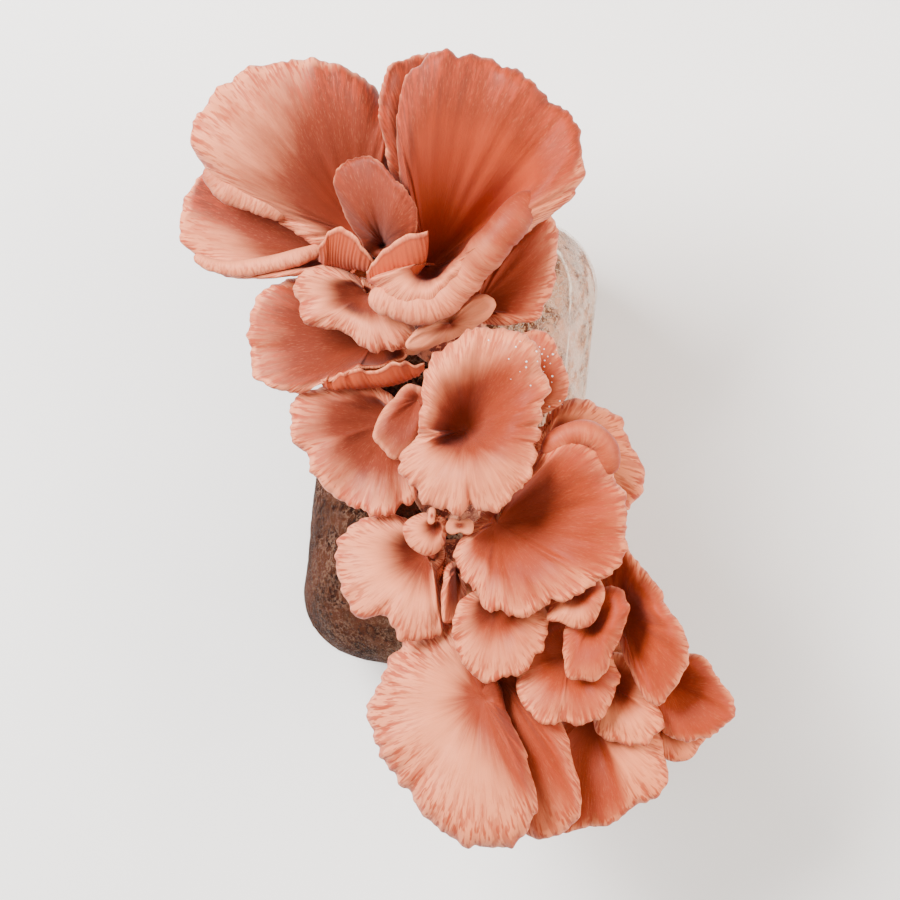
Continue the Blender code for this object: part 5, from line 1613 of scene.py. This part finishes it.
def scattered_tree():
    """Geometry Nodes: copies of a small piece strewn over a surface, where its "sow" value allows."""
    inputs = (
        ("Geometry", "Geometry"), ("Piece", "Object"), ("Density", "Float"),
        ("Smallest", "Float"), ("Largest", "Float"), ("Sink", "Float"),
        ("Seed", "Int"), ("Material", "Material"),
    )
    tree, given, made = new_tree("Scattered", "GeometryNodeTree", inputs, (("Geometry", "Geometry"),))
    seed = given["Seed"]
    density = product(tree, (1, 1), given["Density"], stored(tree, (0, 2), "sow"))
    spots = {"Mesh": given["Geometry"], "Density": density, "Seed": seed}
    spots = named_node(tree, "GeometryNodeDistributePointsOnFaces", (2, 0), spots).outputs
    piece = named_node(tree, "GeometryNodeObjectInfo", (2, 2), {"Object": given["Piece"]}).outputs["Geometry"]
    sizes = {2: given["Smallest"], 3: given["Largest"], "Seed": seed}
    size = named_node(tree, "FunctionNodeRandomValue", (2, 3), sizes, data_type="FLOAT").outputs[1]
    tilts = {0: (-0.12, -0.12, -math.pi), 1: (0.12, 0.12, math.pi), "Seed": seed}
    tilt = named_node(tree, "FunctionNodeRandomValue", (3, 3), tilts, data_type="FLOAT_VECTOR").outputs[0]
    strewn = {"Points": spots["Points"], "Rotation": spots["Rotation"], "Instance": piece, "Scale": size}
    strewn = named_node(tree, "GeometryNodeInstanceOnPoints", (3, 0), strewn).outputs["Instances"]
    turned = {"Instances": strewn, "Rotation": tilt}
    turned = named_node(tree, "GeometryNodeRotateInstances", (4, 0), turned).outputs["Instances"]
    lower = product(tree, (4, 2), given["Sink"], -1)
    down = named_node(tree, "ShaderNodeCombineXYZ", (5, 2), {"Z": lower}).outputs[0]
    sunk = {"Instances": turned, "Translation": down}
    sunk = named_node(tree, "GeometryNodeTranslateInstances", (5, 0), sunk).outputs["Instances"]
    put(tree, made["Geometry"], finished(tree, sunk, given["Material"]))
    return tree


def strew(over, piece, slot_name, finish, **values):
    """Leaves, instead of an object, copies of a small piece strewn over it by its "sow" values."""
    material = bpy.data.materials[finish]
    through_nodes(over, bpy.data.node_groups["Scattered"], Piece=piece, Material=material, **values)
    bpy.data.objects.remove(piece)
    settled(over, slot_name)


def settled(piece, slot_name, *nodes):
    """Tells the frame what a finished piece rides on and stands for. The slot's name that it is given is not
    used.
    """
    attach(piece, "root")
    if nodes:
        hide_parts(*nodes)


def gilled(name, mesh, gills, depth):
    """An object of this mesh, given its gills."""
    piece = linked(name, mesh)
    flesh = bpy.data.materials["oyster_flesh"]
    through_nodes(piece, bpy.data.node_groups["Gills"], Gills=float(gills), Depth=depth, Material=flesh)
    return piece


def grow(mushroom, look):
    """One mushroom, grown from its rim."""
    piece = gilled(f"{mushroom.name}_grown", *grown_mesh(mushroom, look), look.gill_depth)
    settled(piece, SLOTS[mushroom.name], mushroom.name)


def stand_up(leaf, look):
    """One leaf of a mushroom that stands up, its gills finer than under a cap."""
    piece = gilled(leaf.name, *leaf_mesh(leaf, look), 0.55 * look.gill_depth)
    settled(piece, SLOTS[leaf.parent])


def roll_up(roll):
    """One margin rolled into a tube."""
    parent = next(mushroom for mushroom in MUSHROOMS if mushroom.name == roll.parent)
    piece = linked(roll.name, roll_mesh(roll, parent))
    piece.data.materials.append(bpy.data.materials["oyster_flesh"])
    settled(piece, SLOTS[roll.parent])


def make_studio(look):
    """A pale floor under the bag, a broad soft light at the left, a weaker one overhead, the camera."""
    bm = bmesh.new()
    bmesh.ops.create_grid(bm, x_segments=8, y_segments=8, size=1.6)
    mesh = from_bmesh("floor", bm)
    mesh.materials.append(bpy.data.materials["studio_floor"])
    linked("floor", mesh)
    area_light("key", (-0.62, 0.34, 0.88), 0.5, look.key, (1.0, 0.97, 0.94))
    area_light("side", (0.9, 0.0, 0.7), 0.8, look.side, (1.0, 0.9, 0.8))
    area_light("overhead", (0.1, -0.1, 1.6), 1.6, look.fill, (1.0, 0.985, 0.97))
    world = bpy.data.worlds.new("studio")
    world.use_nodes = True
    sky = world.node_tree.nodes["Background"].inputs
    sky["Color"].default_value = (1.0, 0.98, 0.96, 1)
    sky["Strength"].default_value = WORLD_LIGHT
    bpy.context.scene.world = world
    camera = bpy.data.cameras.new("camera")
    camera.sensor_width = 36
    camera.lens = look.lens
    camera.clip_start = 0.05
    held = linked("camera", camera)
    held.location = (CAMERA_X, CAMERA_Y, look.distance)
    held.rotation_euler = (0, 0, look.turn)
    bpy.context.scene.camera = held


def area_light(name, place, size, power, tint):
    """A square light turned to the middle of the heap."""
    light = bpy.data.lights.new(name, "AREA")
    light.size = size
    light.energy = power
    light.color = tint
    lamp = linked(name, light)
    lamp.location = place
    aim = Vector((0.0, 0.0, 0.1)) - lamp.location
    lamp.rotation_euler = aim.to_track_quat("-Z", "Y").to_euler()


class GrowKitMushrooms(bpy.types.PropertyGroup):
    """Sizes and colours that the mushrooms share."""

    ruffle: millimetres("Ruffle", "How far the margins wave in and out", 1.15)
    notch: millimetres("Notch", "How deep the small dips in the margins are", 2.0)
    ridge: millimetres("Ridge", "How high the fine ridges of the margins stand", 0.035)
    gill_spacing: millimetres("Gill Spacing", "From one gill to the next at the margin", 1.6)
    gill_depth: millimetres("Gill Depth", "How far the gills stand out from the under side", 0.35)
    deep_at: millimetres("Throat Depth", "How far below its margin a cap has its full throat colour", 26.0)
    most_gills: whole_number("Most Gills", "The most gills that one mushroom is given", 150)
    streaks: fraction("Streaks", "How strong the coral streaks at the margins are", 0.8)
    rim: colour("Pale Margin", "The caps where they turn over", srgb(225, 136, 98))
    rim_right: colour("Pale Margin, Right", "The same on the right of the heap", srgb(224, 130, 86))
    flesh: colour("Flesh", "The upper skin, inside the margin", srgb(116, 42, 22))
    flesh_right: colour("Flesh, Right", "The same on the right of the heap", srgb(150, 52, 18))
    # The throat colours are partly the skin's own and partly painted shade deep in the caps.
    throat: colour("Throat", "The skin deep in a cap", srgb(146, 52, 26))
    throat_right: colour("Throat, Right", "The same on the right of the heap", srgb(180, 68, 28))
    coral: colour("Coral Streaks", "The darker streaks at the margins", srgb(160, 56, 28))
    gills: colour("Gills", "The under side", srgb(176, 74, 40))
    stem: colour("Stem", "The stems, palest at their foot", srgb(210, 132, 96))


class GrowKitBag(bpy.types.PropertyGroup):
    """Sizes and colours of the block and of the film round it."""

    relief: millimetres("Relief", "How uneven the block's skin is", 0.9)
    chip_count: whole_number("Chips", "Loose chips in the block's skin", 5000)
    crease: millimetres("Crease", "How high a crease in the film stands", 1.1)
    film_thickness: millimetres("Film Thickness", "The wall of the bag", 0.3)
    haze: fraction("Haze", "How much of the block the smooth film hides", 0.01)
    sawdust: colour("Sawdust", "The block between its blotches", srgb(206, 152, 122))
    damp: colour("Damp Sawdust", "The darkest blotches", srgb(96, 54, 36))
    chips: colour("Chips", "The palest chips of wood", srgb(198, 150, 116))
    threads: colour("Threads", "The white threads that bind the block", srgb(246, 222, 198))
    film: colour("Film", "The film's own tint", srgb(208, 160, 134))


class GrowKitKnots(bpy.types.PropertyGroup):
    """The knots of stems and the fine drops."""

    pins: whole_number("Pins", "Young pins on each knot", 26)
    drops: whole_number("Drops", "Fine drops on the caps", 34)


class GrowKitStudio(bpy.types.PropertyGroup):
    """The floor, the lights and the camera."""

    distance: millimetres("Camera Height", "From the floor to the camera", 1300.0)
    lens: bpy.props.FloatProperty(
        name="Lens", description="Focal length on a 36 mm sensor", default=131.0, min=20, unit="CAMERA"
    )
    turn: bpy.props.FloatProperty(
        name="Turn", description="The camera's turn about its axis", default=math.radians(6), subtype="ANGLE"
    )
    key: watts("Key Light", "at the left", 39.0)
    side: watts("Side Light", "at the right", 20.0)
    fill: watts("Fill Light", "overhead", 11.0)
    floor: colour("Floor", "The plain floor", (0.94, 0.94, 0.94, 1.0))


class GROWKIT_OT_finishes(bpy.types.Operator):
    """Makes the materials and the node trees that the pieces use"""

    bl_idname = "growkit.finishes"
    bl_label = "Finishes"
    bl_options = {"REGISTER", "UNDO"}

    def execute(self, context):
        kit = context.scene.grow_kit
        fibres, mottle, dryness = fibres_group(), mottle_group(), shade_to_light_group()
        flesh_material(kit.mushrooms, fibres)
        stem_material(kit.mushrooms, mottle)
        sawdust_material(kit.bag, mottle, dryness)
        chip_material(kit.bag, mottle, dryness)
        film_material(kit.bag, dryness)
        dew_material()
        floor_material(kit.studio.floor, mottle)
        gills_tree()
        scattered_tree()
        return {"FINISHED"}


class GROWKIT_OT_block(bpy.types.Operator):
    """Makes the block of grown-through sawdust"""

    bl_idname = "growkit.block"
    bl_label = "Sawdust Block"
    bl_options = {"REGISTER", "UNDO"}

    def execute(self, context):
        make_block(context.scene.grow_kit.bag)
        return {"FINISHED"}


class GROWKIT_OT_film(bpy.types.Operator):
    """Makes the creased clear bag round the block, slit open along its front"""

    bl_idname = "growkit.film"
    bl_label = "Film Bag"
    bl_options = {"REGISTER", "UNDO"}

    def execute(self, context):
        make_film(context.scene.grow_kit.bag)
        return {"FINISHED"}


class GROWKIT_OT_knots(bpy.types.Operator):
    """Makes the knots where the stems are fused, with their pins"""

    bl_idname = "growkit.knots"
    bl_label = "Stem Knots"
    bl_options = {"REGISTER", "UNDO"}

    def execute(self, context):
        make_knots(context.scene.grow_kit.knots)
        return {"FINISHED"}


class GROWKIT_OT_mushrooms(bpy.types.Operator):
    """Grows every mushroom of the heap, from the lowest to the highest"""

    bl_idname = "growkit.mushrooms"
    bl_label = "Mushrooms"
    bl_options = {"REGISTER", "UNDO"}

    def execute(self, context):
        look = context.scene.grow_kit.mushrooms
        settle(MUSHROOMS)
        for mushroom in MUSHROOMS:
            grow(mushroom, look)
        for leaf in LEAVES:
            stand_up(leaf, look)
        for roll in ROLLS:
            roll_up(roll)
        return {"FINISHED"}


class GROWKIT_OT_drops(bpy.types.Operator):
    """Strews fine drops over the caps at the right"""

    bl_idname = "growkit.drops"
    bl_label = "Drops"
    bl_options = {"REGISTER", "UNDO"}

    def execute(self, context):
        make_dew(context.scene.grow_kit.knots)
        return {"FINISHED"}


class GROWKIT_OT_studio(bpy.types.Operator):
    """Makes the floor, the lights and the camera"""

    bl_idname = "growkit.studio"
    bl_label = "Studio"
    bl_options = {"REGISTER", "UNDO"}

    def execute(self, context):
        make_studio(context.scene.grow_kit.studio)
        return {"FINISHED"}


OPERATORS = (
    GROWKIT_OT_finishes,
    GROWKIT_OT_block,
    GROWKIT_OT_film,
    GROWKIT_OT_knots,
    GROWKIT_OT_mushrooms,
    GROWKIT_OT_drops,
    GROWKIT_OT_studio,
)


class GrowKitProperties(bpy.types.PropertyGroup):
    mushrooms: bpy.props.PointerProperty(type=GrowKitMushrooms)
    bag: bpy.props.PointerProperty(type=GrowKitBag)
    knots: bpy.props.PointerProperty(type=GrowKitKnots)
    studio: bpy.props.PointerProperty(type=GrowKitStudio)


class GROWKIT_PT_sidebar(bpy.types.Panel):
    bl_idname = "GROWKIT_PT_sidebar"
    bl_label = "Grow Kit"
    bl_space_type = "VIEW_3D"
    bl_region_type = "UI"
    bl_category = "Grow Kit"

    def draw(self, context):
        kit = context.scene.grow_kit
        for title, group in (
            ("Mushrooms", kit.mushrooms),
            ("Bag and Block", kit.bag),
            ("Knots and Drops", kit.knots),
            ("Studio", kit.studio),
        ):
            box = self.layout.box()
            box.label(text=title)
            for name in group.__annotations__:
                box.prop(group, name)
        for operator in OPERATORS:
            self.layout.operator(operator.bl_idname)


CLASSES = (
    GrowKitMushrooms,
    GrowKitBag,
    GrowKitKnots,
    GrowKitStudio,
    GrowKitProperties,
    *OPERATORS,
    GROWKIT_PT_sidebar,
)


def register():
    for made in CLASSES:
        bpy.utils.register_class(made)
    bpy.types.Scene.grow_kit = bpy.props.PointerProperty(type=GrowKitProperties)


def unregister():
    del bpy.types.Scene.grow_kit
    for made in reversed(CLASSES):
        bpy.utils.unregister_class(made)


def main():
    register()
    bpy.ops.growkit.finishes()
    bpy.ops.growkit.block()
    bpy.ops.growkit.film()
    bpy.ops.growkit.knots()
    bpy.ops.growkit.mushrooms()
    bpy.ops.growkit.drops()
    bpy.ops.growkit.studio()


if __name__ == "__main__":
    main()
